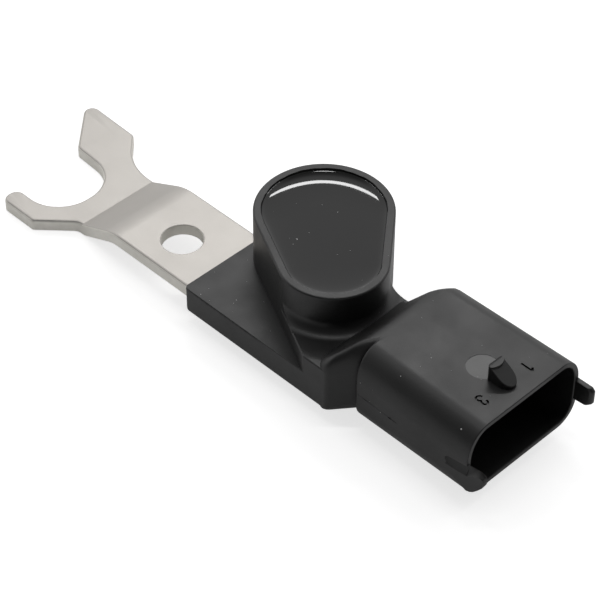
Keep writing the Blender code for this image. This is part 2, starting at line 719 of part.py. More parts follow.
def make_lug():
    """Latch lug: a disc cut flat at the rear, with its top ramped down toward the mouth."""
    cut = math.acos((LUG_REAR_X - LUG_CENTRE_X) / LUG_RADIUS)
    steps = 20
    points = []
    for k in range(steps + 1):
        angle = cut * (2.0 * k / steps - 1.0)
        x, y = on_circle(LUG_CENTRE_X, LUG_CENTRE_Y, LUG_RADIUS, angle)
        ramp = (x - LUG_FLAT_END_X) / (LUG_CENTRE_X + LUG_RADIUS - LUG_FLAT_END_X)
        points.append((x, y, LUG_ROOT_Z))
        points.append((x, y, LUG_TOP_Z + (LUG_NOSE_Z - LUG_TOP_Z) * max(0.0, ramp)))
    return hull("latch_lug", points)


def make_rear_lip():
    """Squarer corner under the rear end of the plug socket."""
    y0 = SHROUD_REAR_FRONT_Y + 0.25
    y1 = y0 + REAR_LIP_WIDTH
    z0 = SHROUD_REAR_BOTTOM_Z + 0.04
    x0 = SHROUD_REAR_X + 0.04
    x1 = x0 + REAR_LIP_LENGTH
    points = []
    for x, shrink in ((x0, 0.0), (x1, 0.0), (x1 + 0.9, 0.7)):
        points.append((x, y0 + 0.45 + shrink, z0 + shrink / 3.0))
        points.append((x, y0 + shrink, z0 + 0.8 + shrink))
        points.append((x, y0 + shrink, z0 + REAR_LIP_HEIGHT))
        points.append((x, y1, z0 + REAR_LIP_HEIGHT))
        points.append((x, y1, z0 + 0.04 + shrink / 3.0))
    return hull("rear_lip", points)


def cup_cutter():
    """Space inside the head."""
    rings = ((HEAD_WALL, CUP_FLOOR_Z), (HEAD_WALL, HEAD_TOP_Z - 0.15), (HEAD_WALL - 0.15, HEAD_TOP_Z))
    rings += ((HEAD_WALL - 0.15, HEAD_TOP_Z + 0.5),)
    return stack("cup_space", [[(x, y, z) for x, y in head_outline(inset)] for inset, z in rings])


def well_cutter():
    """Deeper well for the sensing element."""
    half_x = WELL_LENGTH / 2.0
    half_y = WELL_WIDTH / 2.0
    return block(
        "well_space",
        (WELL_X - half_x, WELL_X + half_x),
        (WELL_Y - half_y, WELL_Y + half_y),
        (WELL_FLOOR_Z, CUP_FLOOR_Z + 0.5),
    )


def socket_cutter():
    """Space inside the plug socket, with draft toward the mouth."""
    rings = [
        shroud_section(SOCKET_FLOOR_X, SHROUD_ROOT_WALL),
        shroud_section(SHROUD_MOUTH_X, SHROUD_MOUTH_WALL),
        shroud_section(SHROUD_MOUTH_X + 0.5, SHROUD_MOUTH_WALL - 0.01),
    ]
    return stack("socket_space", rings)


def plate_cutter():
    """Space in the housing for the plate's tail, with a post left for the anchor hole."""
    corners = [
        (PLATE_SLOT_START_X, PLATE_FRONT_Y - MOULD_GAP, 0.0),
        (PLATE_TAIL_X + MOULD_GAP, PLATE_FRONT_Y - MOULD_GAP, 1.0),
        (PLATE_TAIL_X + MOULD_GAP, PLATE_BACK_Y + 0.1 + MOULD_GAP, 1.0),
        (PLATE_SLOT_START_X, PLATE_BACK_Y + 0.1 + MOULD_GAP, 0.0),
    ]
    outer = rounded_outline(corners, step=15 * DEGREE)
    post = circle(ANCHOR_HOLE_X, ANCHOR_HOLE_Y, ANCHOR_HOLE_RADIUS - MOULD_GAP, 24)
    builder = bmesh.new()
    levels = []
    for z in (-PLATE_THICKNESS - MOULD_GAP, MOULD_GAP):
        levels.append([[builder.verts.new(metres((x, y, z))) for x, y in loop] for loop in (outer, post)])
    for lower, upper in zip(*levels):
        for i in range(len(lower)):
            j = (i + 1) % len(lower)
            builder.faces.new((lower[i], lower[j], upper[j], upper[i]))
    for level in levels:
        flat = [vert for row in level for vert in row]
        for triangle in tessellate_polygon([[vert.co for vert in row] for row in level]):
            builder.faces.new([flat[i] for i in triangle])
    return add_object("plate_space", builder)


def terminal_cutter(index):
    """Slot in the housing for one terminal."""
    wide = BLADE_WIDTH / 2.0 + MOULD_GAP
    narrow = TAIL_WIDTH / 2.0 + MOULD_GAP
    lift = BLADE_THICKNESS / 2.0 + MOULD_GAP
    low = BLADE_CENTRE_Z - lift
    high = BLADE_CENTRE_Z + lift
    stations = (
        (TAIL_X + 1.0, TAIL_Y[index], narrow),
        (TAIL_STRAIGHT_X, TAIL_Y[index], narrow),
        (BLADE_ROOT_X - BLADE_SHOULDER - MOULD_GAP, TERMINAL_Y[index], narrow),
        (BLADE_ROOT_X - MOULD_GAP, TERMINAL_Y[index], wide),
        (SOCKET_FLOOR_X + 0.5, TERMINAL_Y[index], wide),
    )
    rings = []
    for x, y, half in stations:
        rings.append([(x, y - half, low), (x, y + half, low), (x, y + half, high), (x, y - half, high)])
    return stack(f"terminal_space_{index + 1}", rings)


def make_housing():
    """The one black moulding."""
    housing = make_tongue()
    housing.name = "housing"
    housing.data.name = "housing"
    pedestal = prism("pedestal", pedestal_corners(), HOUSING_BOTTOM_Z, PEDESTAL_TOP_Z)
    bodies = [pedestal, make_head(), make_fillet(), make_shoulder(), make_shroud()]
    bodies.append(make_guide("guide_front", SHROUD_MOUTH_FRONT_Y - GUIDE_FRONT_PROUD, 1.0))
    bodies.append(make_guide("guide_back", SHROUD_MOUTH_BACK_Y + GUIDE_BACK_PROUD, -1.0))
    bodies.append(make_lug())
    bodies.append(make_rear_lip())
    for body in bodies:
        boolean(housing, body, "UNION")
    cutters = [cup_cutter(), well_cutter(), socket_cutter(), plate_cutter()]
    cutters += [terminal_cutter(index) for index in range(len(TERMINAL_Y))]
    for cutter in cutters:
        boolean(housing, cutter, "DIFFERENCE")
    for index, (x, y) in enumerate(BOSS_PLACES):
        outline = circle(x, y, BOSS_RADIUS, 20)
        boss = prism(f"boss_{index + 1}", outline, CUP_FLOOR_Z - 0.5, BOARD_BOTTOM_Z - SOLDER_GAP)
        boolean(housing, boss, "UNION")
    return housing


# Terminals, board and sensing element


def strip(name, stations):
    """Flat strip along X and Z through (x, y, z, angle, thickness, width) stations."""
    rings = []
    for x, y, z, angle, thickness, width in stations:
        nx = -math.sin(angle) * thickness / 2.0
        nz = math.cos(angle) * thickness / 2.0
        half = width / 2.0
        rings.append(
            [
                (x - nx, y - half, z - nz),
                (x - nx, y + half, z - nz),
                (x + nx, y + half, z + nz),
                (x + nx, y - half, z + nz),
            ]
        )
    return stack(name, rings)


def make_terminal(index):
    """Blade terminal with a narrow tail turned up through the board."""
    y = TERMINAL_Y[index]
    z = BLADE_CENTRE_Z
    thick = BLADE_THICKNESS
    stations = [
        (BLADE_TIP_X, y, z, math.pi, BLADE_TIP_THICKNESS, BLADE_TIP_WIDTH),
        (BLADE_TIP_X - BLADE_TIP_LENGTH, y, z, math.pi, thick, BLADE_WIDTH),
        (BLADE_ROOT_X, y, z, math.pi, thick, BLADE_WIDTH),
        (BLADE_ROOT_X - BLADE_SHOULDER, y, z, math.pi, thick, TAIL_WIDTH),
    ]
    y = TAIL_Y[index]
    stations.append((TAIL_STRAIGHT_X, y, z, math.pi, thick, TAIL_WIDTH))
    for k in range(6):
        turn = math.pi / 2.0 * k / 5
        x = TAIL_X + TAIL_BEND_RADIUS * (1.0 - math.sin(turn))
        level = z + TAIL_BEND_RADIUS * (1.0 - math.cos(turn))
        stations.append((x, y, level, math.pi - turn, thick, TAIL_WIDTH))
    stations.append((TAIL_X, y, TAIL_TOP_Z - 0.4, math.pi / 2.0, thick, TAIL_WIDTH))
    stations.append((TAIL_X, y, TAIL_TOP_Z, math.pi / 2.0, thick * 0.6, TAIL_WIDTH * 0.6))
    return strip(f"terminal_{index + 1}", stations)


def make_board():
    """Circuit board in the cup, with a hole for each terminal's tail."""
    board = prism("circuit_board", head_outline(BOARD_INSET), BOARD_BOTTOM_Z, BOARD_TOP_Z)
    for index, y in enumerate(TAIL_Y):
        outline = circle(TAIL_X, y, BOARD_HOLE_RADIUS, 20)
        hole = prism(f"board_hole_{index + 1}", outline, BOARD_BOTTOM_Z - 1.0, BOARD_TOP_Z + 1.0)
        boolean(board, hole, "DIFFERENCE")
    return board


def make_chip(name, place):
    """Chip part on the board."""
    x, y = place
    bottom = BOARD_TOP_Z + SOLDER_GAP
    return block(
        name,
        (x - CHIP_LENGTH / 2.0, x + CHIP_LENGTH / 2.0),
        (y - CHIP_WIDTH / 2.0, y + CHIP_WIDTH / 2.0),
        (bottom, bottom + CHIP_HEIGHT),
    )


HALL_BOTTOM_Z = WELL_FLOOR_Z + MOULD_GAP
MAGNET_BOTTOM_Z = HALL_BOTTOM_Z + HALL_HEIGHT + MOULD_GAP
CARRIER_LENGTH = WELL_LENGTH - 2.0 * MOULD_GAP
CARRIER_WIDTH = WELL_WIDTH - 2.0 * MOULD_GAP


def make_hall():
    """Hall switch: flat package with three leads bent up to the board."""
    package = block(
        "hall_ic",
        (WELL_X - HALL_LENGTH / 2.0, WELL_X + HALL_LENGTH / 2.0),
        (WELL_Y - HALL_WIDTH / 2.0, WELL_Y + HALL_WIDTH / 2.0),
        (HALL_BOTTOM_Z, HALL_BOTTOM_Z + HALL_HEIGHT),
    )
    half = LEAD_WIDTH / 2.0
    level = HALL_BOTTOM_Z + HALL_HEIGHT / 2.0
    top = BOARD_BOTTOM_Z - SOLDER_GAP
    inside = WELL_Y + HALL_WIDTH / 2.0 - 0.4
    for index in range(3):
        x = WELL_X + LEAD_PITCH * (index - 1)
        side = [
            (inside, level - half),
            (LEAD_PLANE_Y, level - half),
            (LEAD_PLANE_Y + half, level),
            (LEAD_PLANE_Y + half, top),
            (LEAD_PLANE_Y - half, top),
            (LEAD_PLANE_Y - half, level + half),
            (inside, level + half),
        ]
        rings = [[(x + offset, y, z) for y, z in side] for offset in (-half, half)]
        boolean(package, stack(f"lead_{index + 1}", rings), "UNION")
    return package


def make_magnet():
    """Square bias magnet above the Hall switch."""
    half = MAGNET_SIDE / 2.0
    return block(
        "bias_magnet",
        (WELL_X - half, WELL_X + half),
        (WELL_Y - half, WELL_Y + half),
        (MAGNET_BOTTOM_Z, MAGNET_BOTTOM_Z + MAGNET_HEIGHT),
    )


def make_carrier():
    """Moulded carrier, open below for switch and magnet and at the back for the leads."""
    half_x = CARRIER_LENGTH / 2.0
    half_y = CARRIER_WIDTH / 2.0
    carrier = block(
        "magnet_carrier",
        (WELL_X - half_x, WELL_X + half_x),
        (WELL_Y - half_y, WELL_Y + half_y),
        (HALL_BOTTOM_Z, CARRIER_TOP_Z),
    )
    half = MAGNET_SIDE / 2.0 + MOULD_GAP
    ceiling = MAGNET_BOTTOM_Z + MAGNET_HEIGHT + MOULD_GAP
    pocket = block(
        "magnet_space",
        (WELL_X - half, WELL_X + half),
        (WELL_Y - half, WELL_Y + half),
        (HALL_BOTTOM_Z - 1.0, ceiling),
    )
    slot = block(
        "lead_space",
        (WELL_X - LEAD_SLOT_WIDTH / 2.0, WELL_X + LEAD_SLOT_WIDTH / 2.0),
        (LEAD_PLANE_Y - 0.6, WELL_Y + half_y + 1.0),
        (HALL_BOTTOM_Z - 1.0, CARRIER_TOP_Z + 1.0),
    )
    boolean(carrier, pocket, "DIFFERENCE")
    boolean(carrier, slot, "DIFFERENCE")
    return carrier


def make_potting():
    """Casting resin round the board and its parts, with a hollow meniscus along the wall."""
    gap = HEAD_WALL + POTTING_GAP
    rings = [(gap, CUP_FLOOR_Z + POTTING_GAP)]
    steps = 5
    for k in range(steps + 1):
        share = k / steps
        level = POTTING_MIDDLE_Z + (POTTING_EDGE_Z - POTTING_MIDDLE_Z) * (1.0 - share) ** 3
        rings.append((gap + MENISCUS_WIDTH * share, level))
    potting = stack("potting_compound", [[(x, y, z) for x, y in head_outline(i)] for i, z in rings])
    cutters = [
        prism(
            "board_space",
            head_outline(BOARD_INSET - POTTING_GAP),
            BOARD_BOTTOM_Z - POTTING_GAP,
            BOARD_TOP_Z + POTTING_GAP,
        )
    ]
    for index, y in enumerate(TAIL_Y):
        half = TAIL_WIDTH / 2.0 + POTTING_GAP
        lift = BLADE_THICKNESS / 2.0 + POTTING_GAP
        low = BLADE_CENTRE_Z - lift
        cutters.append(
            block(
                f"run_space_{index + 1}",
                (TAIL_X, HEAD_SMALL_X + HEAD_SMALL_RADIUS),
                (y - half, y + half),
                (low, low + 2.0 * lift),
            )
        )
        cutters.append(
            block(
                f"tail_space_{index + 1}",
                (TAIL_X - lift, TAIL_X + lift + TAIL_BEND_RADIUS),
                (y - half, y + half),
                (low, TAIL_TOP_Z + POTTING_GAP),
            )
        )
    for index, (x, y) in enumerate(BOSS_PLACES):
        outline = circle(x, y, BOSS_RADIUS + POTTING_GAP, 20)
        cutters.append(prism(f"boss_space_{index + 1}", outline, CUP_FLOOR_Z, BOARD_BOTTOM_Z))
    half_x = WELL_LENGTH / 2.0
    half_y = WELL_WIDTH / 2.0
    cutters.append(
        block(
            "carrier_space",
            (WELL_X - half_x, WELL_X + half_x),
            (WELL_Y - half_y, WELL_Y + half_y),
            (CUP_FLOOR_Z - 1.0, BOARD_BOTTOM_Z),
        )
    )
    for index, (x, y) in enumerate((*CAPACITOR_PLACES, RESISTOR_PLACE)):
        long = CHIP_LENGTH / 2.0 + POTTING_GAP
        wide = CHIP_WIDTH / 2.0 + POTTING_GAP
        top = BOARD_TOP_Z + SOLDER_GAP + CHIP_HEIGHT + POTTING_GAP
        cutters.append(
            block(f"chip_space_{index + 1}", (x - long, x + long), (y - wide, y + wide), (BOARD_TOP_Z, top))
        )
    for cutter in cutters:
        boolean(potting, cutter, "DIFFERENCE")
    return potting


def build():
    """Make every piece of the sensor."""
    clear_scene()
    steel = make_material("zinc_plated_steel", (0.60, 0.59, 0.56), 0.34, 1.0)
    plastic = make_material("black_plastic", (0.028, 0.028, 0.029), 0.50)
    resin = make_material("black_resin", (0.012, 0.012, 0.013), 0.12)
    tin = make_material("tinned_brass", (0.66, 0.62, 0.52), 0.30, 1.0)
    laminate = make_material("green_laminate", (0.03, 0.13, 0.06), 0.45)
    package = make_material("chip_package", (0.03, 0.03, 0.032), 0.55)
    nickel = make_material("nickel_magnet", (0.52, 0.52, 0.53), 0.28, 1.0)
    natural = make_material("carrier_plastic", (0.09, 0.09, 0.10), 0.50)
    ceramic = make_material("capacitor_ceramic", (0.42, 0.28, 0.17), 0.50)
    glaze = make_material("resistor_glaze", (0.05, 0.05, 0.06), 0.35)
    dress(make_plate(), steel)
    dress(make_housing(), plastic)
    dress(make_potting(), resin, 50.0)
    for index in range(len(TERMINAL_Y)):
        dress(make_terminal(index), tin)
    dress(make_board(), laminate)
    dress(make_hall(), package)
    dress(make_magnet(), nickel)
    dress(make_carrier(), natural)
    for index, place in enumerate(CAPACITOR_PLACES):
        dress(make_chip(f"capacitor_{index + 1}", place), ceramic)
    dress(make_chip("series_resistor", RESISTOR_PLACE), glaze)


build()
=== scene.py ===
"""Looks of the camshaft position sensor: fine moulded housing, folded plate, resin and daylight.

Sizes are in millimetres in the part's own layout: X runs from the fork to the plug socket, Y to
the back, Z up, and zero is the bolt hole's axis at the plate's top face. The layout is laid over
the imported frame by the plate's and the housing's boxes.
"""

import math
import random

import bmesh
import bpy
from mathutils import Euler, Matrix, Vector
from mathutils.geometry import tessellate_polygon


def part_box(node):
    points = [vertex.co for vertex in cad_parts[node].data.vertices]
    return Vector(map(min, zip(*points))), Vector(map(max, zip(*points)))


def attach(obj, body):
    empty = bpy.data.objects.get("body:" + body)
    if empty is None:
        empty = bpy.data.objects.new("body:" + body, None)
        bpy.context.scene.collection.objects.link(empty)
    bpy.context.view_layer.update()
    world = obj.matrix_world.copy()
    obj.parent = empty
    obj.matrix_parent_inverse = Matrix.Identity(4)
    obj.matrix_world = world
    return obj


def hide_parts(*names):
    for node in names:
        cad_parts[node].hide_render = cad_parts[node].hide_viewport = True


# Camera, in metres in the frame, and degrees
CAMERA_PLACE = (0.176436, -0.170541, 0.229609)
CAMERA_AZIMUTH = -44.95
CAMERA_ELEVATION = 43.23
CAMERA_ROLL = 0.25
CAMERA_LENS = 132.0
CAMERA_SENSOR = 36.0

# Mounting plate; its sheared sides and the lower half of the edge roll, the rings up to the one
# numbered below, wear lighter steel as painted light
PLATE_THICKNESS = 2.0
PLATE_FRONT_Y = -6.75
PLATE_BACK_Y = 8.75
PLATE_TAIL_X = 31.0
BOLT_HOLE_RADIUS = 3.3
BOLT_HOLE_ROLL = 0.2
EDGE_ROLL = 0.45
BURR_ROUND = 0.06
SHEARED_PAINTED_LIGHT_RINGS = 9
PLATE_STRAIGHT_X = -7.55
JOGGLE_START_X = -6.88
JOGGLE_DROP = 3.6
JOGGLE_ANGLE = math.radians(25.0)
JOGGLE_UPPER_RADIUS = 8.0
JOGGLE_LOWER_RADIUS = 1.5
HOOK_OUTER_Y = -11.15

# Housing
HOUSING_BOTTOM_Z = -3.4
HOUSING_FRONT_Y = -8.05
TONGUE_TOP_Z = 1.4
TONGUE_LEFT_X = 9.2
TONGUE_BACK_Y = 10.1
TONGUE_EDGE_ROUND = 0.12
TONGUE_CORNER_RADIUS = 0.8
PEDESTAL_TOP_Z = 4.5
PEDESTAL_BACK_Y = 11.0
PEDESTAL_END_X = 38.4
BOTTOM_ROUND = 0.7
EDGE_ROUND = 0.22

# Head: two circles joined by their common tangents
HEAD_TOP_Z = 11.0
HEAD_LARGE_X = 19.15
HEAD_LARGE_Y = 11.43
HEAD_LARGE_RADIUS = 10.6
HEAD_SMALL_RADIUS = 8.3
HEAD_CENTRE_DISTANCE = 11.25
HEAD_AXIS_ANGLE = math.radians(-38.6)
HEAD_SMALL_X = HEAD_LARGE_X + HEAD_CENTRE_DISTANCE * math.cos(HEAD_AXIS_ANGLE)
HEAD_SMALL_Y = HEAD_LARGE_Y + HEAD_CENTRE_DISTANCE * math.sin(HEAD_AXIS_ANGLE)
HEAD_TANGENT_ANGLE = math.acos((HEAD_LARGE_RADIUS - HEAD_SMALL_RADIUS) / HEAD_CENTRE_DISTANCE)
HEAD_WALL = 1.3
HEAD_RIM_ROUND = 0.3
HEAD_FILLET = 2.0
FILLET_SETBACK = 0.08
CUP_FLOOR_Z = 1.5
RIM_WOBBLE = 0.07
RIM_LEAD_IN = 0.12
RIM_LEAD_IN_DEPTH = 0.3

# Waves of the uneven rim: share of the wobble, waves round the head, lag
RIM_WAVES = ((0.6, 11.0, 0.0), (0.4, 29.0, 1.0))

# Casting resin: each rise along the wall fades over its reach, and the lip rounds it off
POTTING_MIDDLE_Z = 10.15
MENISCUS_RISE = (0.43, 0.22)
MENISCUS_REACH = (2.0, 0.25)
MENISCUS_LIP = 0.12
MENISCUS_WIDTH = 6.5
POTTING_GAP = 0.02
POTTING_SHARP_ANGLE = 50.0

# Shoulder between pedestal and plug socket
CREASE_X = 36.3
CREASE_RADIUS = 2.1
SHOULDER_BACK_X = 38.2
SHOULDER_SETBACK = 3.38
SHOULDER_BEND_RADIUS = 1.2
SHOULDER_TOP_RADIUS = 3.5
SHOULDER_EDGE_RADIUS = 1.6
SHOULDER_LOW_RADIUS = 0.3
SHOULDER_ROOT_Z = 4.0
SHOULDER_OVERLAP = (0.3, 1.0)
SHOULDER_SLIP = 0.015

# Plug socket
SHROUD_REAR_X = 42.7
SHROUD_MOUTH_X = 64.35
SHROUD_REAR = {"front": -6.05, "back": 16.35, "bottom": -3.5, "top": 9.35, "low": 2.8}
SHROUD_MOUTH = {"front": -6.65, "back": 16.75, "bottom": -3.35, "top": 9.2, "low": 3.7}
SHROUD_TOP_RADIUS_Y = 3.9
SHROUD_TOP_RADIUS_Z = 5.0
SHROUD_MOUTH_WALL = 0.85
SHROUD_ROOT_WALL = 1.3
SHROUD_REAR_ROUND = 0.45
SHROUD_MOUTH_ROUND = 0.14
MOUTH_LEAD_IN = 0.12
SOCKET_FLOOR_X = 48.0

# Guide bars and latch lug
GUIDE_START_X = 60.5
GUIDE_TIP_X = 67.4
GUIDE_THICKNESS = 0.8
GUIDE_BOTTOM_Z = (0.1, 0.6)
GUIDE_TOP_Z = 4.1
GUIDE_CHAMFER = 0.75
BACK_GUIDE_PROUD = 0.2
BACK_GUIDE_CORNER = 0.5
BACK_GUIDE_ROUND = 0.16

# Layers of the back guide bar, inward: (depth, tip's set-back)
BACK_GUIDE_LAYERS = ((0.0, 0.0), (0.6, 0.0), (0.9, 0.35))

# Scoop above the front guide bar
SCOOP_END_X = 64.36

# Guide bar: (x, bottom, top of its outer face, ridge along its inner face)
GUIDE_STATIONS = (
    (60.5, 0.6, 1.5, 2.0),
    (63.0, -0.5, 1.7, 2.9),
    (64.4, -1.15, 1.86, 3.5),
    (65.05, -0.95, 2.25, 3.5),
    (65.6, -0.55, 2.68, 3.56),
    (66.0, -0.12, 2.92, 3.63),
    (66.45, 0.43, 3.12, 3.67),
    (66.95, 1.1, 3.2, 3.5),
    (67.25, 1.58, 3.1, 3.25),
    (GUIDE_TIP_X, 1.95, 2.8, 2.92),
)

# Scoop over the guide bar in the socket's side: (x, lower edge, upper edge, depth)
SCOOP_STATIONS = (
    (60.26, 2.15, 2.4, 0.02),
    (60.4, 1.8, 2.72, 0.3),
    (60.8, 1.5, 3.02, 0.55),
    (62.5, 1.68, 3.36, 0.65),
    (SCOOP_END_X, 1.85, 3.7, 0.7),
)

# Latch lug: flat top with a curved end, small step, then a ramp down to an elliptical nose.
# The flat's curved end is (centre x, radius); the ramp is (x, z, slope) of one of its points.
LUG_REAR_X = 58.5
LUG_NOSE_X = 62.35
LUG_NOSE_START_X = 60.5
LUG_MIDDLE_Y = 4.82
LUG_HALF_WIDTH = 1.42
LUG_CORNER = 0.35
LUG_FLAT_CURVE = (57.42, 2.2)
LUG_TOP_Z = 11.8
LUG_RAMP = (59.74, 11.22, -0.593)
LUG_ROOT_Z = 8.6
LUG_ROUND = 0.1
LUG_BLOCK_PROUD = 0.01

# Marks on the socket's top
EJECTOR_MARK = (56.55, 4.85)
EJECTOR_RADIUS = 2.4
EJECTOR_DEPTH = 0.03
DIGIT_STROKE = 0.33
DIGIT_DEPTH = 0.3
DIGIT_ONE = ((59.8, 9.1), (61.95, 9.1))
DIGIT_ONE_FLAG = ((61.93, 9.14), (61.47, 9.6))
DIGIT_THREE = (
    (60.35, 0.5),
    (60.0, 0.36),
    (59.8, 0.0),
    (59.86, -0.35),
    (60.15, -0.5),
    (60.5, -0.44),
    (60.72, -0.22),
    (61.0, -0.44),
    (61.4, -0.47),
    (61.68, -0.25),
    (61.7, 0.1),
    (61.45, 0.36),
    (61.15, 0.34),
)

# Floor, in metres: its colour, and its own light as the camera and as reflections see it
FLOOR_COLOUR = 0.66
FLOOR_FILL = 0.7
FLOOR_MIRRORED = 0.16
FLOOR_ROUGHNESS = 0.9
FLOOR_HALF_SIZE = 3.0
FLOOR_GAP = 0.0001

# Lamps: name, azimuth, elevation, distance, size, watts
LAMPS = (
    ("strip_back", 129.0, 48.7, 0.75, (0.40, 0.03), 0.67),
    ("strip_over", 135.0, 88.0, 0.7, (0.45, 0.02), 0.8),
)
LAMP_TARGET = (0.0, 0.0, 0.01)

# Light tent: along each direction its light falls from 1 to the last value between two cosines
TENT_TO_CAMERA = (-0.4, 0.3, 0.12)
TENT_OVERHEAD = (0.78, 0.92, 0.4)

# Making: arc step in radians, sharp edges in degrees, slots of a body, reach of a cut past a face
DEGREE = math.radians(1.0)
FINE = 3.0 * DEGREE
SHARP_ANGLE = 32.0
BODY_SLOTS = 2
CUT_CLEARANCE = 1.0


def unit(dx, dy):
    """Direction of length one."""
    length = math.hypot(dx, dy)
    return dx / length, dy / length


def rounded_outline(corners, inset=0.0, step=FINE):
    """Closed counter-clockwise outline with a circular fillet at each (x, y, radius) corner."""
    count = len(corners)
    lines = []
    for i in range(count):
        x0, y0, _ = corners[i]
        x1, y1, _ = corners[(i + 1) % count]
        dx, dy = unit(x1 - x0, y1 - y0)
        lines.append((x0 - dy * inset, y0 + dx * inset, dx, dy))
    points = []
    for i in range(count):
        ax, ay, adx, ady = lines[i - 1]
        bx, by, bdx, bdy = lines[i]
        cross = adx * bdy - ady * bdx
        along = ((bx - ax) * bdy - (by - ay) * bdx) / cross
        px = ax + adx * along
        py = ay + ady * along
        radius = corners[i][2]
        if radius == 0.0:
            points.append((px, py))
            continue
        turn = math.atan2(cross, adx * bdx + ady * bdy)
        radius = radius - inset if turn > 0 else radius + inset
        tangent = radius * math.tan(abs(turn) / 2.0)
        side = 1.0 if turn > 0 else -1.0
        cx = px - adx * tangent - ady * radius * side
        cy = py - ady * tangent + adx * radius * side
        start = math.atan2(-adx * side, ady * side)
        steps = max(2, math.ceil(abs(turn) / step))
        for k in range(steps + 1):
            angle = start + turn * k / steps
            points.append((cx + radius * math.cos(angle), cy + radius * math.sin(angle)))
    return points


def on_circle(cx, cy, radius, angle):
    """Point of a circle at an angle."""
    return cx + radius * math.cos(angle), cy + radius * math.sin(angle)


def circle(cx, cy, radius, count=96):
    """Counter-clockwise circle."""
    turn = 2.0 * math.pi / count
    return [on_circle(cx, cy, radius, turn * k) for k in range(count)]


def head_outline(inset=0.0, wobble=0.0, step=FINE):
    """Egg outline of the head, or the parallel one inside it, as uneven as the wobble says."""
    low = HEAD_AXIS_ANGLE - HEAD_TANGENT_ANGLE
    high = HEAD_AXIS_ANGLE + HEAD_TANGENT_ANGLE
    points = []
    arcs = (
        (HEAD_SMALL_X, HEAD_SMALL_Y, HEAD_SMALL_RADIUS, low, high),
        (HEAD_LARGE_X, HEAD_LARGE_Y, HEAD_LARGE_RADIUS, high, low + 2.0 * math.pi),
    )
    for cx, cy, radius, start, end in arcs:
        steps = math.ceil((end - start) / step)
        for k in range(steps + 1):
            angle = start + (end - start) * k / steps
            uneven = sum(size * math.sin(rate * angle + lag) for size, rate, lag in RIM_WAVES)
            points.append(on_circle(cx, cy, radius - inset - wobble * uneven, angle))
    return points


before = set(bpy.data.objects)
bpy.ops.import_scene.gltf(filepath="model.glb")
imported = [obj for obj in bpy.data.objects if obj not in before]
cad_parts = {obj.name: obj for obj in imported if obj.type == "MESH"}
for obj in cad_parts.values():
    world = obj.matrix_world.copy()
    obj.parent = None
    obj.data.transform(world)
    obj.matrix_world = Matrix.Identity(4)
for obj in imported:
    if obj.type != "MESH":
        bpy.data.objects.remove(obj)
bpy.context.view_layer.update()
ORIGIN_X = GUIDE_TIP_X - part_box("housing")[1].x * 1000.0
ORIGIN_Y = HOOK_OUTER_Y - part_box("mounting_plate")[0].y * 1000.0
ORIGIN_Z = -JOGGLE_DROP - PLATE_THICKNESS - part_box("mounting_plate")[0].z * 1000.0


def metres(point):
    """A layout point in millimetres as a point of the frame in metres."""
    x, y, z = point
    return Vector(((x - ORIGIN_X) * 0.001, (y - ORIGIN_Y) * 0.001, (z - ORIGIN_Z) * 0.001))


def add_object(name, builder):
    """Turn a bmesh into an object of the scene."""
    bmesh.ops.recalc_face_normals(builder, faces=builder.faces)
    mesh = bpy.data.meshes.new(name)
    builder.to_mesh(mesh)
    builder.free()
    item = bpy.data.objects.new(name, mesh)
    bpy.context.scene.collection.objects.link(item)
    return item


def stack(name, rings, material_index=0):
    """Closed body through a stack of rings with equal counts of (x, y, z) points."""
    builder = bmesh.new()
    rows = []
    for ring in rings:
        rows.append([builder.verts.new(metres(point)) for point in ring])
    for lower, upper in zip(rows, rows[1:]):
        for i in range(len(lower)):
            j = (i + 1) % len(lower)
            builder.faces.new((lower[i], lower[j], upper[j], upper[i]))
    builder.faces.new(list(reversed(rows[0])))
    builder.faces.new(rows[-1])
    for face in builder.faces:
        face.material_index = material_index
    return add_object(name, builder)


def hull(name, points, bevel=0.0):
    """Convex body round a set of points, with its sharp edges rounded."""
    builder = bmesh.new()
    for point in points:
        builder.verts.new(metres(point))
    result = bmesh.ops.convex_hull(builder, input=builder.verts)
    spare = {item for item in result["geom_interior"] if isinstance(item, bmesh.types.BMVert)}
    spare |= {item for item in result["geom_unused"] if isinstance(item, bmesh.types.BMVert)}
    bmesh.ops.delete(builder, geom=list(spare), context="VERTS")
    if bevel:
        round_edges(builder, bevel)
    return add_object(name, builder)


def round_edges(builder, width, angle=28.0, segments=3):
    """Round the edges of a bmesh that turn by more than an angle."""
    bmesh.ops.dissolve_limit(
        builder, angle_limit=1.0 * DEGREE, verts=builder.verts[:], edges=builder.edges[:]
    )
    sharp = [e for e in builder.edges if e.is_manifold and e.calc_face_angle() > angle * DEGREE]
    bmesh.ops.bevel(
        builder,
        geom=sharp,
        offset=width * 0.001,
        offset_type="OFFSET",
        segments=segments,
        profile=0.5,
        affect="EDGES",
        clamp_overlap=True,
    )


def rounded_rings(outline_at, bottom, top, bottom_round, top_round, steps=5):
    """Rings up a straight body over an outline, with its bottom and top edges rounded."""
    rings = []
    for k in range(steps + 1):
        angle = math.pi / 2.0 * k / steps
        inset = bottom_round * (1.0 - math.sin(angle))
        level = bottom + bottom_round * (1.0 - math.cos(angle))
        rings.append([(x, y, level) for x, y in outline_at(inset)])
    for k in range(steps + 1):
        angle = math.pi / 2.0 * k / steps
        inset = top_round * (1.0 - math.cos(angle))
        level = top - top_round * (1.0 - math.sin(angle))
        rings.append([(x, y, level) for x, y in outline_at(inset)])
    return rings


def add_slots(item, count):
    """Empty material slots up to a count."""
    while len(item.data.materials) < count:
        item.data.materials.append(None)


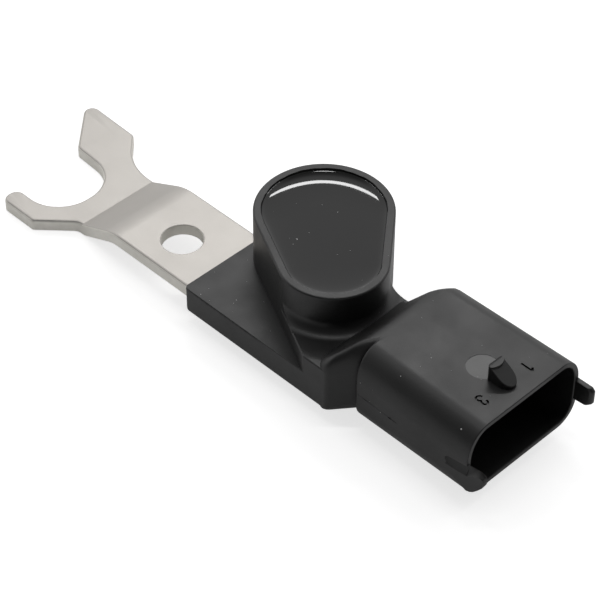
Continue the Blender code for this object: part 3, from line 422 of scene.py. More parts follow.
def combine(base, operations):
    """Join, cut or trim the base with each (tool, operation) and return one plain mesh object.

    Each body gets empty material slots first, because a cut keeps its tool's slot number only
    where that slot exists.
    """
    for item in (base, *[tool for tool, _ in operations]):
        add_slots(item, BODY_SLOTS)
    for tool, operation in operations:
        modifier = base.modifiers.new(tool.name, "BOOLEAN")
        modifier.object = tool
        modifier.operation = operation
        modifier.solver = "EXACT"
        modifier.material_mode = "INDEX"
    bpy.context.view_layer.update()
    graph = bpy.context.evaluated_depsgraph_get()
    mesh = bpy.data.meshes.new_from_object(base.evaluated_get(graph))
    name = base.name
    for tool, _ in operations:
        bpy.data.objects.remove(tool, do_unlink=True)
    bpy.data.objects.remove(base, do_unlink=True)
    item = bpy.data.objects.new(name, mesh)
    bpy.context.scene.collection.objects.link(item)
    return item


def dress(item, materials, angle=SHARP_ANGLE):
    """Give a piece its materials, smooth shading and normals that follow its larger faces."""
    add_slots(item, len(materials))
    for index, material in enumerate(materials):
        item.data.materials[index] = material
    item.data.shade_smooth()
    item.data.set_sharp_from_angle(angle=angle * DEGREE)
    modifier = item.modifiers.new("normals", "WEIGHTED_NORMAL")
    modifier.keep_sharp = True
    return item


# Materials


def mix_ramp(tree, coordinates, scale, detail, low, high, roughness=0.6):
    """Noise mapped to the range from low to high."""
    noise = tree.nodes.new("ShaderNodeTexNoise")
    noise.inputs["Scale"].default_value = scale
    noise.inputs["Detail"].default_value = detail
    noise.inputs["Roughness"].default_value = roughness
    tree.links.new(coordinates, noise.inputs["Vector"])
    spread = tree.nodes.new("ShaderNodeMapRange")
    spread.inputs["From Min"].default_value = 0.3
    spread.inputs["From Max"].default_value = 0.7
    spread.inputs["To Min"].default_value = low
    spread.inputs["To Max"].default_value = high
    tree.links.new(noise.outputs["Fac"], spread.inputs["Value"])
    return noise, spread


def make_material(
    name, dark, light, rough, metallic=0.0, cloud=120.0, grain=3000.0, bump=0.02, ior=1.5
):
    """Principled material with a cloudy colour, a cloudy roughness and a fine surface grain.

    The colour lies between dark and light and the roughness between the two of rough; cloud and
    grain are spots per metre, and bump is the grain's height in millimetres.
    """
    material = bpy.data.materials.new(name)
    material.use_nodes = True
    tree = material.node_tree
    shader = tree.nodes["Principled BSDF"]
    shader.inputs["Metallic"].default_value = metallic
    shader.inputs["IOR"].default_value = ior
    coordinates = tree.nodes.new("ShaderNodeTexCoord").outputs["Object"]
    _, share = mix_ramp(tree, coordinates, cloud, 6.0, 0.0, 1.0)
    colour = tree.nodes.new("ShaderNodeMix")
    colour.data_type = "RGBA"
    colour.inputs["A"].default_value = (*dark, 1.0)
    colour.inputs["B"].default_value = (*light, 1.0)
    tree.links.new(share.outputs["Result"], colour.inputs["Factor"])
    tree.links.new(colour.outputs["Result"], shader.inputs["Base Color"])
    _, roughness = mix_ramp(tree, coordinates, cloud * 1.3, 5.0, rough[0], rough[1])
    tree.links.new(roughness.outputs["Result"], shader.inputs["Roughness"])
    if bump:
        fine, _ = mix_ramp(tree, coordinates, grain, 3.0, 0.0, 1.0)
        relief = tree.nodes.new("ShaderNodeBump")
        relief.inputs["Strength"].default_value = 1.0
        relief.inputs["Distance"].default_value = bump * 0.001
        tree.links.new(fine.outputs["Fac"], relief.inputs["Height"])
        tree.links.new(relief.outputs["Normal"], shader.inputs["Normal"])
    return material


def grey(value):
    """Neutral colour."""
    return (value, value, value)


PLASTIC = make_material("black_plastic", grey(0.006), grey(0.010), (0.37, 0.48), bump=0.006)
# Ejector mark: the recess is real, but its colour, several times lighter than the plastic, is a
# painted sheen
MARK_PAINTED_SHEEN = make_material("moulding_mark_painted_sheen", grey(0.05), grey(0.065), (0.33, 0.38), bump=0.003)
RESIN = make_material(
    "black_resin", grey(0.003), grey(0.005), (0.02, 0.05), cloud=60.0, bump=0.0, ior=1.44
)
STEEL = make_material(
    "plated_steel",
    (0.43, 0.41, 0.385),
    (0.465, 0.445, 0.42),
    (0.42, 0.48),
    metallic=1.0,
    cloud=90.0,
    bump=0.002,
)
# Sheared sides and lower edge roll: rougher like a real sheared face, but about twice the steel's
# lightness as painted light for bright sides and edge highlights
SHEARED_PAINTED_LIGHT = make_material(
    "sheared_edge_painted_light",
    (0.84, 0.82, 0.77),
    (0.90, 0.88, 0.83),
    (0.58, 0.68),
    metallic=1.0,
    cloud=400.0,
    bump=0.01,
)
TIN = make_material(
    "tinned_brass",
    (0.55, 0.52, 0.45),
    (0.66, 0.63, 0.55),
    (0.25, 0.38),
    metallic=1.0,
    bump=0.004,
)
LAMINATE = make_material("green_laminate", (0.02, 0.10, 0.04), (0.03, 0.14, 0.06), (0.40, 0.50))
PACKAGE = make_material("chip_package", grey(0.025), grey(0.035), (0.50, 0.60))
NICKEL = make_material("nickel_magnet", grey(0.50), grey(0.56), (0.22, 0.32), metallic=1.0)
NATURAL = make_material("carrier_plastic", grey(0.08), grey(0.10), (0.45, 0.55))
CERAMIC = make_material("chip_ceramic", (0.38, 0.25, 0.15), (0.45, 0.30, 0.18), (0.45, 0.55))
DUST = make_material("dust", grey(0.55), grey(0.70), (0.80, 0.90), bump=0.0)


# Mounting plate


def fork_shift():
    """The joggle's straight slope, its length along the sheet and its length from above."""
    bends = JOGGLE_UPPER_RADIUS + JOGGLE_LOWER_RADIUS
    slope = (JOGGLE_DROP - bends * (1.0 - math.cos(JOGGLE_ANGLE))) / math.sin(JOGGLE_ANGLE)
    sheet = bends * JOGGLE_ANGLE + slope
    run = bends * math.sin(JOGGLE_ANGLE) + slope * math.cos(JOGGLE_ANGLE)
    return slope, sheet, run


def blank_corners(shift):
    """Corners of the plate before folding; everything left of the joggle moves by the shift."""
    return [
        (PLATE_TAIL_X, PLATE_FRONT_Y, 1.0),
        (PLATE_TAIL_X, PLATE_BACK_Y, 1.0),
        (-22.1 - shift, PLATE_BACK_Y + 0.1, 10.6),
        (-27.7 - shift, 14.44, 0.8),
        (-40.3 - shift, 14.95, 1.4),
        (-31.65 - shift, 5.75, 1.2),
        (-20.9 - shift, 5.05, 6.3),
        (-20.9 - shift, -7.8, 6.3),
        (-30.55 - shift, -7.8, 1.5),
        (-30.55 - shift, HOOK_OUTER_Y, 1.5),
        (-22.9 - shift, HOOK_OUTER_Y, 0.6),
        (-17.6 - shift, -6.2, 2.0),
        (PLATE_STRAIGHT_X, PLATE_FRONT_Y, 0.0),
    ]


def fold(point):
    """Carry a point of the flat blank over the two bends of the joggle."""
    x, y, z = point
    slope, sheet, run = fork_shift()
    travel = JOGGLE_START_X - x
    if travel <= 0.0:
        return x, y, z
    middle = z + PLATE_THICKNESS / 2.0
    upper = JOGGLE_UPPER_RADIUS * JOGGLE_ANGLE
    lower = JOGGLE_LOWER_RADIUS * JOGGLE_ANGLE
    if travel <= upper:
        angle = travel / JOGGLE_UPPER_RADIUS
        back = JOGGLE_UPPER_RADIUS * math.sin(angle)
        drop = JOGGLE_UPPER_RADIUS * (1.0 - math.cos(angle))
    elif travel <= upper + slope:
        angle = JOGGLE_ANGLE
        beyond = travel - upper
        back = JOGGLE_UPPER_RADIUS * math.sin(angle) + beyond * math.cos(angle)
        drop = JOGGLE_UPPER_RADIUS * (1.0 - math.cos(angle)) + beyond * math.sin(angle)
    elif travel <= upper + slope + lower:
        angle = (sheet - travel) / JOGGLE_LOWER_RADIUS
        back = run - JOGGLE_LOWER_RADIUS * math.sin(angle)
        drop = JOGGLE_DROP - JOGGLE_LOWER_RADIUS * (1.0 - math.cos(angle))
    else:
        angle = 0.0
        back = run + travel - sheet
        drop = JOGGLE_DROP
    px = JOGGLE_START_X - back - middle * math.sin(angle)
    pz = -PLATE_THICKNESS / 2.0 - drop + middle * math.cos(angle)
    return px, y, pz


def make_plate():
    """Stamped plate with rolled upper edges, its bolt hole, fork and joggle."""
    slope, sheet, run = fork_shift()
    corners = blank_corners(sheet - run)
    outlines = (
        (lambda inset: rounded_outline(corners, inset), EDGE_ROLL),
        (lambda inset: circle(0.0, 0.0, BOLT_HOLE_RADIUS + inset), BOLT_HOLE_ROLL),
    )
    builder = bmesh.new()
    levels = []
    for outline_at, roll in outlines:
        rings = rounded_rings(outline_at, -PLATE_THICKNESS, 0.0, BURR_ROUND, roll, 6)
        rows = [[builder.verts.new(point) for point in ring] for ring in rings]
        for index, (lower, upper) in enumerate(zip(rows, rows[1:])):
            for i in range(len(upper)):
                j = (i + 1) % len(upper)
                face = builder.faces.new((lower[i], lower[j], upper[j], upper[i]))
                # the rings of the sides and the lower edge roll take the lighter steel, which is
                # painted light
                face.material_index = 1 if index <= SHEARED_PAINTED_LIGHT_RINGS else 0
        levels.append((rows[0], rows[-1]))
    for rows in zip(*levels):
        flat = [vert for row in rows for vert in row]
        for triangle in tessellate_polygon([[vert.co for vert in row] for row in rows]):
            builder.faces.new([flat[i] for i in triangle])
    upper = JOGGLE_UPPER_RADIUS * JOGGLE_ANGLE
    lower = JOGGLE_LOWER_RADIUS * JOGGLE_ANGLE
    places = [JOGGLE_START_X - upper * k / 10 for k in range(11)]
    places += [JOGGLE_START_X - upper - slope - lower * k / 10 for k in range(11)]
    for place in places:
        bmesh.ops.bisect_plane(
            builder,
            geom=builder.verts[:] + builder.edges[:] + builder.faces[:],
            dist=0.0001,
            plane_co=(place, 0.0, 0.0),
            plane_no=(1.0, 0.0, 0.0),
        )
    for vert in builder.verts:
        vert.co = metres(fold(tuple(vert.co)))
    return dress(add_object("folded_plate", builder), [STEEL, SHEARED_PAINTED_LIGHT])


# Housing


def pedestal_corners(inset=0.0):
    """Pedestal seen from above: its diagonal wall runs on from the head's flat side."""
    angle = HEAD_AXIS_ANGLE - HEAD_TANGENT_ANGLE
    x1, y1 = on_circle(HEAD_LARGE_X, HEAD_LARGE_Y, HEAD_LARGE_RADIUS, angle)
    x2, y2 = on_circle(HEAD_SMALL_X, HEAD_SMALL_Y, HEAD_SMALL_RADIUS, angle)
    reach = (HOUSING_FRONT_Y - y2) / (y2 - y1)
    x3 = x2 + (x2 - x1) * reach
    corners = [
        (x1, y1, 0.0),
        (x3, HOUSING_FRONT_Y, TONGUE_CORNER_RADIUS),
        (PEDESTAL_END_X, HOUSING_FRONT_Y, 0.0),
        (PEDESTAL_END_X, PEDESTAL_BACK_Y, 0.0),
        (HEAD_LARGE_X, PEDESTAL_BACK_Y, 0.0),
    ]
    return rounded_outline(corners, inset)


def make_tongue():
    """Slab of the housing round the plate's tail."""
    corners = [
        (TONGUE_LEFT_X, HOUSING_FRONT_Y, TONGUE_CORNER_RADIUS),
        (PEDESTAL_END_X, HOUSING_FRONT_Y, 0.0),
        (PEDESTAL_END_X, TONGUE_BACK_Y, 0.0),
        (TONGUE_LEFT_X, TONGUE_BACK_Y, TONGUE_CORNER_RADIUS),
    ]
    return stack(
        "moulded_housing",
        rounded_rings(
            lambda inset: rounded_outline(corners, inset),
            HOUSING_BOTTOM_Z,
            TONGUE_TOP_Z,
            BOTTOM_ROUND,
            TONGUE_EDGE_ROUND,
        ),
    )


def make_head():
    """Outer body of the head, with a rounded rim."""
    return stack(
        "head",
        rounded_rings(
            head_outline,
            HOUSING_BOTTOM_Z,
            HEAD_TOP_Z,
            BOTTOM_ROUND,
            HEAD_RIM_ROUND,
        ),
    )


def make_fillet():
    """Hollow fillet round the foot of the head, kept inside the pedestal's outline."""
    rings = [(-HEAD_FILLET, PEDESTAL_TOP_Z - 1.0)]
    steps = 12
    for k in range(steps + 1):
        angle = math.pi / 2.0 * k / steps
        outset = HEAD_FILLET * (1.0 - math.sin(angle))
        rings.append((-outset, PEDESTAL_TOP_Z + HEAD_FILLET * (1.0 - math.cos(angle))))
    fillet = stack("fillet", [[(x, y, z) for x, y in head_outline(inset)] for inset, z in rings])
    outline = pedestal_corners(FILLET_SETBACK)
    levels = (PEDESTAL_TOP_Z - 0.5, HEAD_TOP_Z - 1.0)
    bounds = stack("fillet_bounds", [[(x, y, z) for x, y in outline] for z in levels])
    return combine(fillet, [(bounds, "INTERSECT")])


def section(x, size, low, top_radii, steps=20):
    """Section across X from its (front, back, bottom, top), with elliptical top corners."""
    front, back, bottom, top = size
    radius_y, radius_z = top_radii
    corners = (
        (front, bottom, low, low, 1, 1, 180),
        (back, bottom, low, low, -1, 1, 270),
        (back, top, radius_y, radius_z, -1, -1, 0),
        (front, top, radius_y, radius_z, 1, -1, 90),
    )
    ring = []
    for y, z, reach_y, reach_z, toward_y, toward_z, start in corners:
        cy = y + reach_y * toward_y
        cz = z + reach_z * toward_z
        for k in range(steps + 1):
            angle = (start + 90.0 * k / steps) * DEGREE
            ring.append((x, cy + reach_y * math.cos(angle), cz + reach_z * math.sin(angle)))
    return ring


def shroud_at(x, side):
    """Place of the plug socket's front, back, bottom or top, or its lower radius, along X."""
    share = (x - SHROUD_REAR_X) / (SHROUD_MOUTH_X - SHROUD_REAR_X)
    return SHROUD_REAR[side] + (SHROUD_MOUTH[side] - SHROUD_REAR[side]) * share


def shroud_section(x, inset=0.0):
    """Section of the plug socket at a place along X."""
    at = {side: shroud_at(x, side) for side in SHROUD_REAR}
    size = (at["front"] + inset, at["back"] - inset, at["bottom"] + inset, at["top"] - inset)
    top_radii = (SHROUD_TOP_RADIUS_Y - inset, SHROUD_TOP_RADIUS_Z - inset)
    return section(x, size, at["low"] - inset, top_radii)


def bend_angle(run, rise, radius):
    """Angle of a straight slope that gains the rise over the run, arc of the radius included."""
    return 2.0 * math.atan(rise / (run + math.sqrt(run * run - (2.0 * radius - rise) * rise)))


def shoulder_top(x):
    """Height of the shoulder: a straight slope that rounds over into the socket's top."""
    end = SHROUD_REAR["top"] - SHOULDER_SLIP
    radius = SHOULDER_TOP_RADIUS
    angle = bend_angle(SHROUD_REAR_X - CREASE_X, end - PEDESTAL_TOP_Z, radius)
    away = SHROUD_REAR_X - x
    if away < radius * math.sin(angle):
        return end - radius + math.sqrt(radius * radius - away * away)
    return PEDESTAL_TOP_Z + (x - CREASE_X) * math.tan(angle)


def shoulder_front(x):
    """Front face of the shoulder: round at the crease, then falling back toward the socket."""
    start = CREASE_X + CREASE_RADIUS
    if x < start:
        share = min(1.0, (start - x) / CREASE_RADIUS)
        return HOUSING_FRONT_Y + CREASE_RADIUS * (1.0 - math.sqrt(1.0 - share * share))
    radius = SHOULDER_BEND_RADIUS
    angle = bend_angle(SHROUD_REAR_X - start, SHOULDER_SETBACK, radius)
    away = x - start
    if away < radius * math.sin(angle):
        return HOUSING_FRONT_Y + radius - math.sqrt(radius * radius - away * away)
    return HOUSING_FRONT_Y + SHOULDER_SETBACK - (SHROUD_REAR_X - x) * math.tan(angle)


def shoulder_section(x):
    """Section of the shoulder at a place along X, rounder toward the socket."""
    share = max(0.0, (x - CREASE_X) / (SHROUD_REAR_X - CREASE_X))
    spread = max(0.0, (x - SHOULDER_BACK_X) / (SHROUD_REAR_X - SHOULDER_BACK_X))
    back = PEDESTAL_BACK_Y + (SHROUD_REAR["back"] - SHOULDER_SLIP - PEDESTAL_BACK_Y) * spread
    top = shoulder_top(x)
    low = SHOULDER_LOW_RADIUS + (SHROUD_REAR["low"] - SHOULDER_LOW_RADIUS) * spread
    end_radius = SHROUD_TOP_RADIUS_Y - SHOULDER_SLIP
    radius_y = SHOULDER_EDGE_RADIUS + (end_radius - SHOULDER_EDGE_RADIUS) * share
    size = (shoulder_front(x), back, HOUSING_BOTTOM_Z, top)
    return section(x, size, low, (radius_y, top - SHOULDER_ROOT_Z))


def make_shoulder():
    """Sloping neck between pedestal and plug socket."""
    into_pedestal, into_socket = SHOULDER_OVERLAP
    stations = [CREASE_X - into_pedestal]
    steps = 14
    for k in range(steps + 1):
        stations.append(CREASE_X + CREASE_RADIUS * (1.0 - math.cos(math.pi / 2.0 * k / steps)))
    start = stations[-1]
    for k in range(1, 31):
        stations.append(start + (SHROUD_REAR_X - start) * k / 30)
    rings = [shoulder_section(x) for x in stations]
    rings.append([(x + into_socket, y, z) for x, y, z in rings[-1]])
    return stack("shoulder", rings)


def make_shroud():
    """Outer body of the plug socket, with its rear and mouth edges rounded."""
    rings = []
    steps = 5
    for k in range(steps + 1):
        angle = math.pi / 2.0 * k / steps
        x = SHROUD_REAR_X + SHROUD_REAR_ROUND * (1.0 - math.cos(angle))
        rings.append(shroud_section(x, SHROUD_REAR_ROUND * (1.0 - math.sin(angle))))
    for k in range(steps + 1):
        angle = math.pi / 2.0 * k / steps
        x = SHROUD_MOUTH_X - SHROUD_MOUTH_ROUND * (1.0 - math.sin(angle))
        rings.append(shroud_section(x, SHROUD_MOUTH_ROUND * (1.0 - math.cos(angle))))
    return stack("shroud", rings)


def make_front_guide():
    """Guide bar that runs on from the socket's front wall, hollowed along its top."""
    outer_y = SHROUD_MOUTH["front"]
    rings = []
    for x, bottom, top, ridge in GUIDE_STATIONS:
        section_points = (
            (0.12, bottom),
            (0.0, bottom + 0.12),
            (0.0, top - 0.06),
            (0.06, top),
            (0.4, top + 0.4 * (ridge - top)),
            (GUIDE_THICKNESS - 0.14, ridge - 0.05),
            (GUIDE_THICKNESS - 0.07, ridge),
            (GUIDE_THICKNESS, ridge - 0.06),
            (GUIDE_THICKNESS, bottom + 0.1),
        )
        rings.append([(x, outer_y + depth, z) for depth, z in section_points])
    return stack("guide_front", rings)


def scoop_cutter():
    """Scoop above the front guide bar, cut into the socket's side wall."""
    rings = []
    for x, low, high, depth in SCOOP_STATIONS:
        wall = shroud_at(x, "front")
        section_points = (
            (wall - CUT_CLEARANCE, low - 0.3),
            (wall, low),
            (wall + depth * 0.55, low + 0.4 * (high - low)),
            (wall + depth, high - 0.08),
            (wall + depth * 0.85, high),
            (wall - CUT_CLEARANCE, high + 0.05),
        )
        rings.append([(x, y, z) for y, z in section_points])
    return stack("scoop", rings)


def make_back_guide():
    """Plain guide bar behind the mouth."""
    outer_y = SHROUD_MOUTH["back"] + BACK_GUIDE_PROUD
    root_z, tip_z = GUIDE_BOTTOM_Z
    builder = bmesh.new()
    rows = []
    for depth, lead in BACK_GUIDE_LAYERS:
        tip = GUIDE_TIP_X - lead
        side = (
            (GUIDE_START_X, root_z),
            (tip - GUIDE_CHAMFER, tip_z),
            (tip, tip_z + GUIDE_CHAMFER),
            (tip, GUIDE_TOP_Z - BACK_GUIDE_CORNER),
            (tip - BACK_GUIDE_CORNER, GUIDE_TOP_Z),
            (GUIDE_START_X, GUIDE_TOP_Z),
        )
        rows.append([builder.verts.new(metres((x, outer_y - depth, z))) for x, z in side])
    for lower, upper in zip(rows, rows[1:]):
        for i in range(len(lower)):
            j = (i + 1) % len(lower)
            builder.faces.new((lower[i], lower[j], upper[j], upper[i]))
    builder.faces.new(list(reversed(rows[0])))
    builder.faces.new(rows[-1])
    bmesh.ops.recalc_face_normals(builder, faces=builder.faces)
    round_edges(builder, BACK_GUIDE_ROUND, segments=2)
    return add_object("guide_back", builder)


def lug_outline(grow=0.0):
    """Lug seen from above: straight sides, an elliptical nose and rounded rear corners."""
    half = LUG_HALF_WIDTH + grow
    points = []
    steps = 24
    for k in range(steps + 1):
        angle = (180.0 * k / steps - 90.0) * DEGREE
        x = LUG_NOSE_START_X + (LUG_NOSE_X - LUG_NOSE_START_X) * math.cos(angle)
        points.append((x, LUG_MIDDLE_Y + half * math.sin(angle)))
    for side, start in ((1.0, 90.0), (-1.0, 180.0)):
        for k in range(7):
            angle = (start + 15.0 * k) * DEGREE
            centre_y = LUG_MIDDLE_Y + (half - LUG_CORNER) * side
            points.append(on_circle(LUG_REAR_X + LUG_CORNER, centre_y, LUG_CORNER, angle))
    return points


def lug_parts():
    """Ramped body of the latch lug, and the flat block at its rear."""
    start_x, start_z, slope = LUG_RAMP
    ramp = []
    for x, y in lug_outline():
        ramp.append((x, y, LUG_ROOT_Z))
        ramp.append((x, y, start_z + slope * (x - start_x)))
    block = []
    centre_x, radius = LUG_FLAT_CURVE
    for x, y in lug_outline(LUG_BLOCK_PROUD):
        limit = centre_x + math.sqrt(radius * radius - (y - LUG_MIDDLE_Y) ** 2)
        block += [(min(x, limit), y, z) for z in (LUG_ROOT_Z, LUG_TOP_Z)]
    for k in range(13):
        y = LUG_MIDDLE_Y + (LUG_HALF_WIDTH + LUG_BLOCK_PROUD) * (k / 6.0 - 1.0)
        limit = centre_x + math.sqrt(radius * radius - (y - LUG_MIDDLE_Y) ** 2)
        block += [(limit, y, z) for z in (LUG_ROOT_Z, LUG_TOP_Z)]
    return hull("lug_ramp", ramp, LUG_ROUND), hull("lug_block", block, LUG_ROUND)


def cup_cutter():
    """Space inside the head, with an uneven lip where resin has crept over."""
    rings = (
        (HEAD_WALL, CUP_FLOOR_Z, 0.0),
        (HEAD_WALL, HEAD_TOP_Z - RIM_LEAD_IN_DEPTH, 0.0),
        (HEAD_WALL - RIM_LEAD_IN, HEAD_TOP_Z, RIM_WOBBLE),
        (HEAD_WALL - RIM_LEAD_IN, HEAD_TOP_Z + 0.5, RIM_WOBBLE),
    )
    return stack(
        "cup_space",
        [[(x, y, z) for x, y in head_outline(inset, wobble)] for inset, z, wobble in rings],
    )


def socket_cutter():
    """Space inside the plug socket, with draft toward the mouth and a small lead-in."""
    rings = [
        shroud_section(SOCKET_FLOOR_X, SHROUD_ROOT_WALL),
        shroud_section(SHROUD_MOUTH_X - MOUTH_LEAD_IN, SHROUD_MOUTH_WALL),
        shroud_section(SHROUD_MOUTH_X, SHROUD_MOUTH_WALL - MOUTH_LEAD_IN),
        shroud_section(SHROUD_MOUTH_X + 0.05, SHROUD_MOUTH_WALL - MOUTH_LEAD_IN),
    ]
    return stack("socket_space", rings)


def mark_cutter():
    """Shallow round recess that an ejector leaves."""
    cx, cy = EJECTOR_MARK
    level = shroud_at(cx, "top")
    outline = circle(cx, cy, EJECTOR_RADIUS)
    levels = (level - EJECTOR_DEPTH, level + CUT_CLEARANCE)
    rings = [[(x, y, z) for x, y in outline] for z in levels]
    # slot 1 gives the recess floor the lighter material, a painted sheen
    return stack("ejector_mark", rings, 1)


def stroke_cutter(name, path):
    """Engraved stroke of even width along a path of (x, y) points."""
    half = DIGIT_STROKE / 2.0
    left = []
    right = []
    for i, (x, y) in enumerate(path):
        x0, y0 = path[max(0, i - 1)]
        x1, y1 = path[min(len(path) - 1, i + 1)]
        dx, dy = unit(x1 - x0, y1 - y0)
        left.append((x - dy * half, y + dx * half))
        right.append((x + dy * half, y - dx * half))
    outline = right + list(reversed(left))
    level = shroud_at(path[0][0], "top")
    levels = (level - DIGIT_DEPTH, level + CUT_CLEARANCE)
    return stack(name, [[(x, y, z) for x, y in outline] for z in levels])


def digit_cutters():
    """Pin numbers 1 and 3, with their feet toward the socket's rear."""
    return [
        stroke_cutter("one_stem", DIGIT_ONE),
        stroke_cutter("one_flag", DIGIT_ONE_FLAG),
        stroke_cutter("three", DIGIT_THREE),
    ]


def make_housing():
    """The one black moulding, with its marks."""
    pedestal = stack(
        "pedestal",
        rounded_rings(
            pedestal_corners,
            HOUSING_BOTTOM_Z,
            PEDESTAL_TOP_Z,
            BOTTOM_ROUND,
            EDGE_ROUND,
        ),
    )
    bodies = [pedestal, make_head(), make_fillet(), make_shoulder(), make_shroud()]
    bodies += [make_front_guide(), make_back_guide(), *lug_parts()]
    operations = [(body, "UNION") for body in bodies]
    cutters = [cup_cutter(), socket_cutter(), mark_cutter(), *digit_cutters(), scoop_cutter()]
    operations += [(cutter, "DIFFERENCE") for cutter in cutters]
    return dress(combine(make_tongue(), operations), [PLASTIC, MARK_PAINTED_SHEEN])


def make_potting():
    """Casting resin with a hollow meniscus along the wall."""
    gap = HEAD_WALL + POTTING_GAP
    rings = [(gap, CUP_FLOOR_Z + 0.3)]
    steps = 30
    for k in range(steps + 1):
        away = MENISCUS_WIDTH * (k / steps) ** 2
        climb = math.hypot(away, MENISCUS_LIP)
        level = POTTING_MIDDLE_Z
        for rise, reach in zip(MENISCUS_RISE, MENISCUS_REACH):
            level += rise * math.exp(-climb / reach)
        rings.append((gap + away, level))
    potting = stack("cast_resin", [[(x, y, z) for x, y in head_outline(i)] for i, z in rings])
    return dress(potting, [RESIN], POTTING_SHARP_ANGLE)


# Flash lines: start, end, direction outward, reach, teeth
TO_FRONT = (0.0, -1.0, 0.0)
TO_FORK = (-1.0, 0.0, 0.0)
FLASH_LINES = (
    ((9.6, HOUSING_FRONT_Y, 1.2), (26.5, HOUSING_FRONT_Y, 1.2), TO_FRONT, 0.09, 60),
    ((TONGUE_LEFT_X, 8.6, 0.02), (TONGUE_LEFT_X, -6.4, 0.02), TO_FORK, 0.12, 50),
    ((43.2, -6.07, 1.9), (49.0, -6.23, 1.9), TO_FRONT, 0.05, 20),
    ((49.0, -6.23, 1.9), (51.0, -6.28, 1.9), TO_FRONT, 0.14, 8),
)
FLASH_THICKNESS = 0.03
FLASH_ROOT = 0.1
FLASH_SEED = 7


def make_flash():
    """Thin ragged flash along the mould's parting line and over the plate."""
    draw = random.Random(FLASH_SEED)
    builder = bmesh.new()
    for start, end, outward, reach, count in FLASH_LINES:
        start = Vector(start)
        end = Vector(end)
        outward = Vector(outward)
        rows = []
        for k in range(count + 1):
            share = k / count
            middle = start.lerp(end, share)
            fade = min(1.0, 6.0 * share, 6.0 * (1.0 - share) + 0.1)
            width = reach * draw.uniform(0.1, 1.0) * fade
            tip = middle + outward * max(width, 0.01)
            root = middle - outward * FLASH_ROOT
            thick = Vector((0.0, 0.0, FLASH_THICKNESS))
            rows.append([builder.verts.new(metres(p)) for p in (root - thick, tip, root + thick)])
        for lower, upper in zip(rows, rows[1:]):
            for i in range(3):
                j = (i + 1) % 3
                builder.faces.new((lower[i], lower[j], upper[j], upper[i]))
        builder.faces.new(rows[0])
        builder.faces.new(list(reversed(rows[-1])))
    flash = add_object("mould_flash", builder)
    return dress(flash, [PLASTIC])


# Dust specks: (x, y, size) seen from above, and (x, z, size) on the front wall
DUST_ABOVE = (
    (12.2, -7.4, 0.07),
    (16.8, -4.5, 0.08),
    (17.0, -5.3, 0.06),
    (12.1, -5.7, 0.05),
    (14.1, -7.4, 0.05),
    (20.5, 4.4, 0.12),
    (20.7, 6.7, 0.05),
    (20.9, 3.2, 0.05),
    (20.4, 13.0, 0.07),
    (17.6, 12.5, 0.05),
    (27.0, 6.3, 0.05),
    (27.7, 8.2, 0.05),
    (61.7, -5.2, 0.12),
    (49.5, -4.2, 0.07),
    (50.4, 1.0, 0.05),
)
DUST_FRONT = ((43.7, 4.5, 0.06), (47.8, 1.7, 0.07), (45.6, 2.2, 0.05))
DUST_START = 40.0
DUST_SCATTERED = 30
DUST_FINE = 0.03
DUST_SEED = 11
DUST_SPREAD_X = (10.0, 62.0)
DUST_SPREAD_Y = (-7.0, 14.0)


def make_dust(targets):
    """Small pale specks that lie on the housing and the resin."""
    draw = random.Random(DUST_SEED)
    bpy.context.view_layer.update()
    down = (0.0, 0.0, -1.0)
    inward = (0.0, 1.0, 0.0)
    specks = [((x, y, DUST_START), down, size) for x, y, size in DUST_ABOVE]
    specks += [((x, -DUST_START, z), inward, size) for x, z, size in DUST_FRONT]
    for _ in range(DUST_SCATTERED):
        place = (draw.uniform(*DUST_SPREAD_X), draw.uniform(*DUST_SPREAD_Y), DUST_START)
        specks.append((place, down, DUST_FINE))
    builder = bmesh.new()
    for start, direction, size in specks:
        origin = metres(start)
        hits = [item.ray_cast(origin, Vector(direction)) for item in targets]
        hits = [hit for hit in hits if hit[0]]
        if not hits:
            continue
        _, place, normal, _ = min(hits, key=lambda hit: (hit[1] - origin).length)
        turn = normal.to_track_quat("Z", "X").to_matrix().to_4x4()
        spin = Matrix.Rotation(draw.uniform(0.0, math.pi), 4, "Z")
        shape = Matrix.Diagonal((size * draw.uniform(0.8, 1.6), size, size * 0.4, 1.0))
        bmesh.ops.create_icosphere(
            builder,
            subdivisions=1,
            radius=0.001,
            matrix=Matrix.Translation(place) @ turn @ spin @ shape,
        )
    return dress(add_object("dust_specks", builder), [DUST])


# Pieces


housing = make_housing()
plate = make_plate()
potting = make_potting()
for piece, node, slot in (
    (housing, "housing", "black_plastic"),
    (plate, "mounting_plate", "plated_steel"),
    (potting, "potting_compound", "black_resin"),
):
    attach(piece, "root")
    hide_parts(node)
flash = make_flash()
dust = make_dust((housing, potting))
for piece in (flash, dust):
    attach(piece, "root")

KEPT = {
    "terminal_1": TIN,
    "terminal_2": TIN,
    "terminal_3": TIN,
    "circuit_board": LAMINATE,
    "hall_ic": PACKAGE,
    "bias_magnet": NICKEL,
    "magnet_carrier": NATURAL,
    "capacitor_1": CERAMIC,
    "capacitor_2": CERAMIC,
    "capacitor_3": CERAMIC,
    "series_resistor": PACKAGE,
}
for node, material in KEPT.items():
    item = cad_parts[node]
    for slot in item.material_slots:
        slot.material = material


# Stage


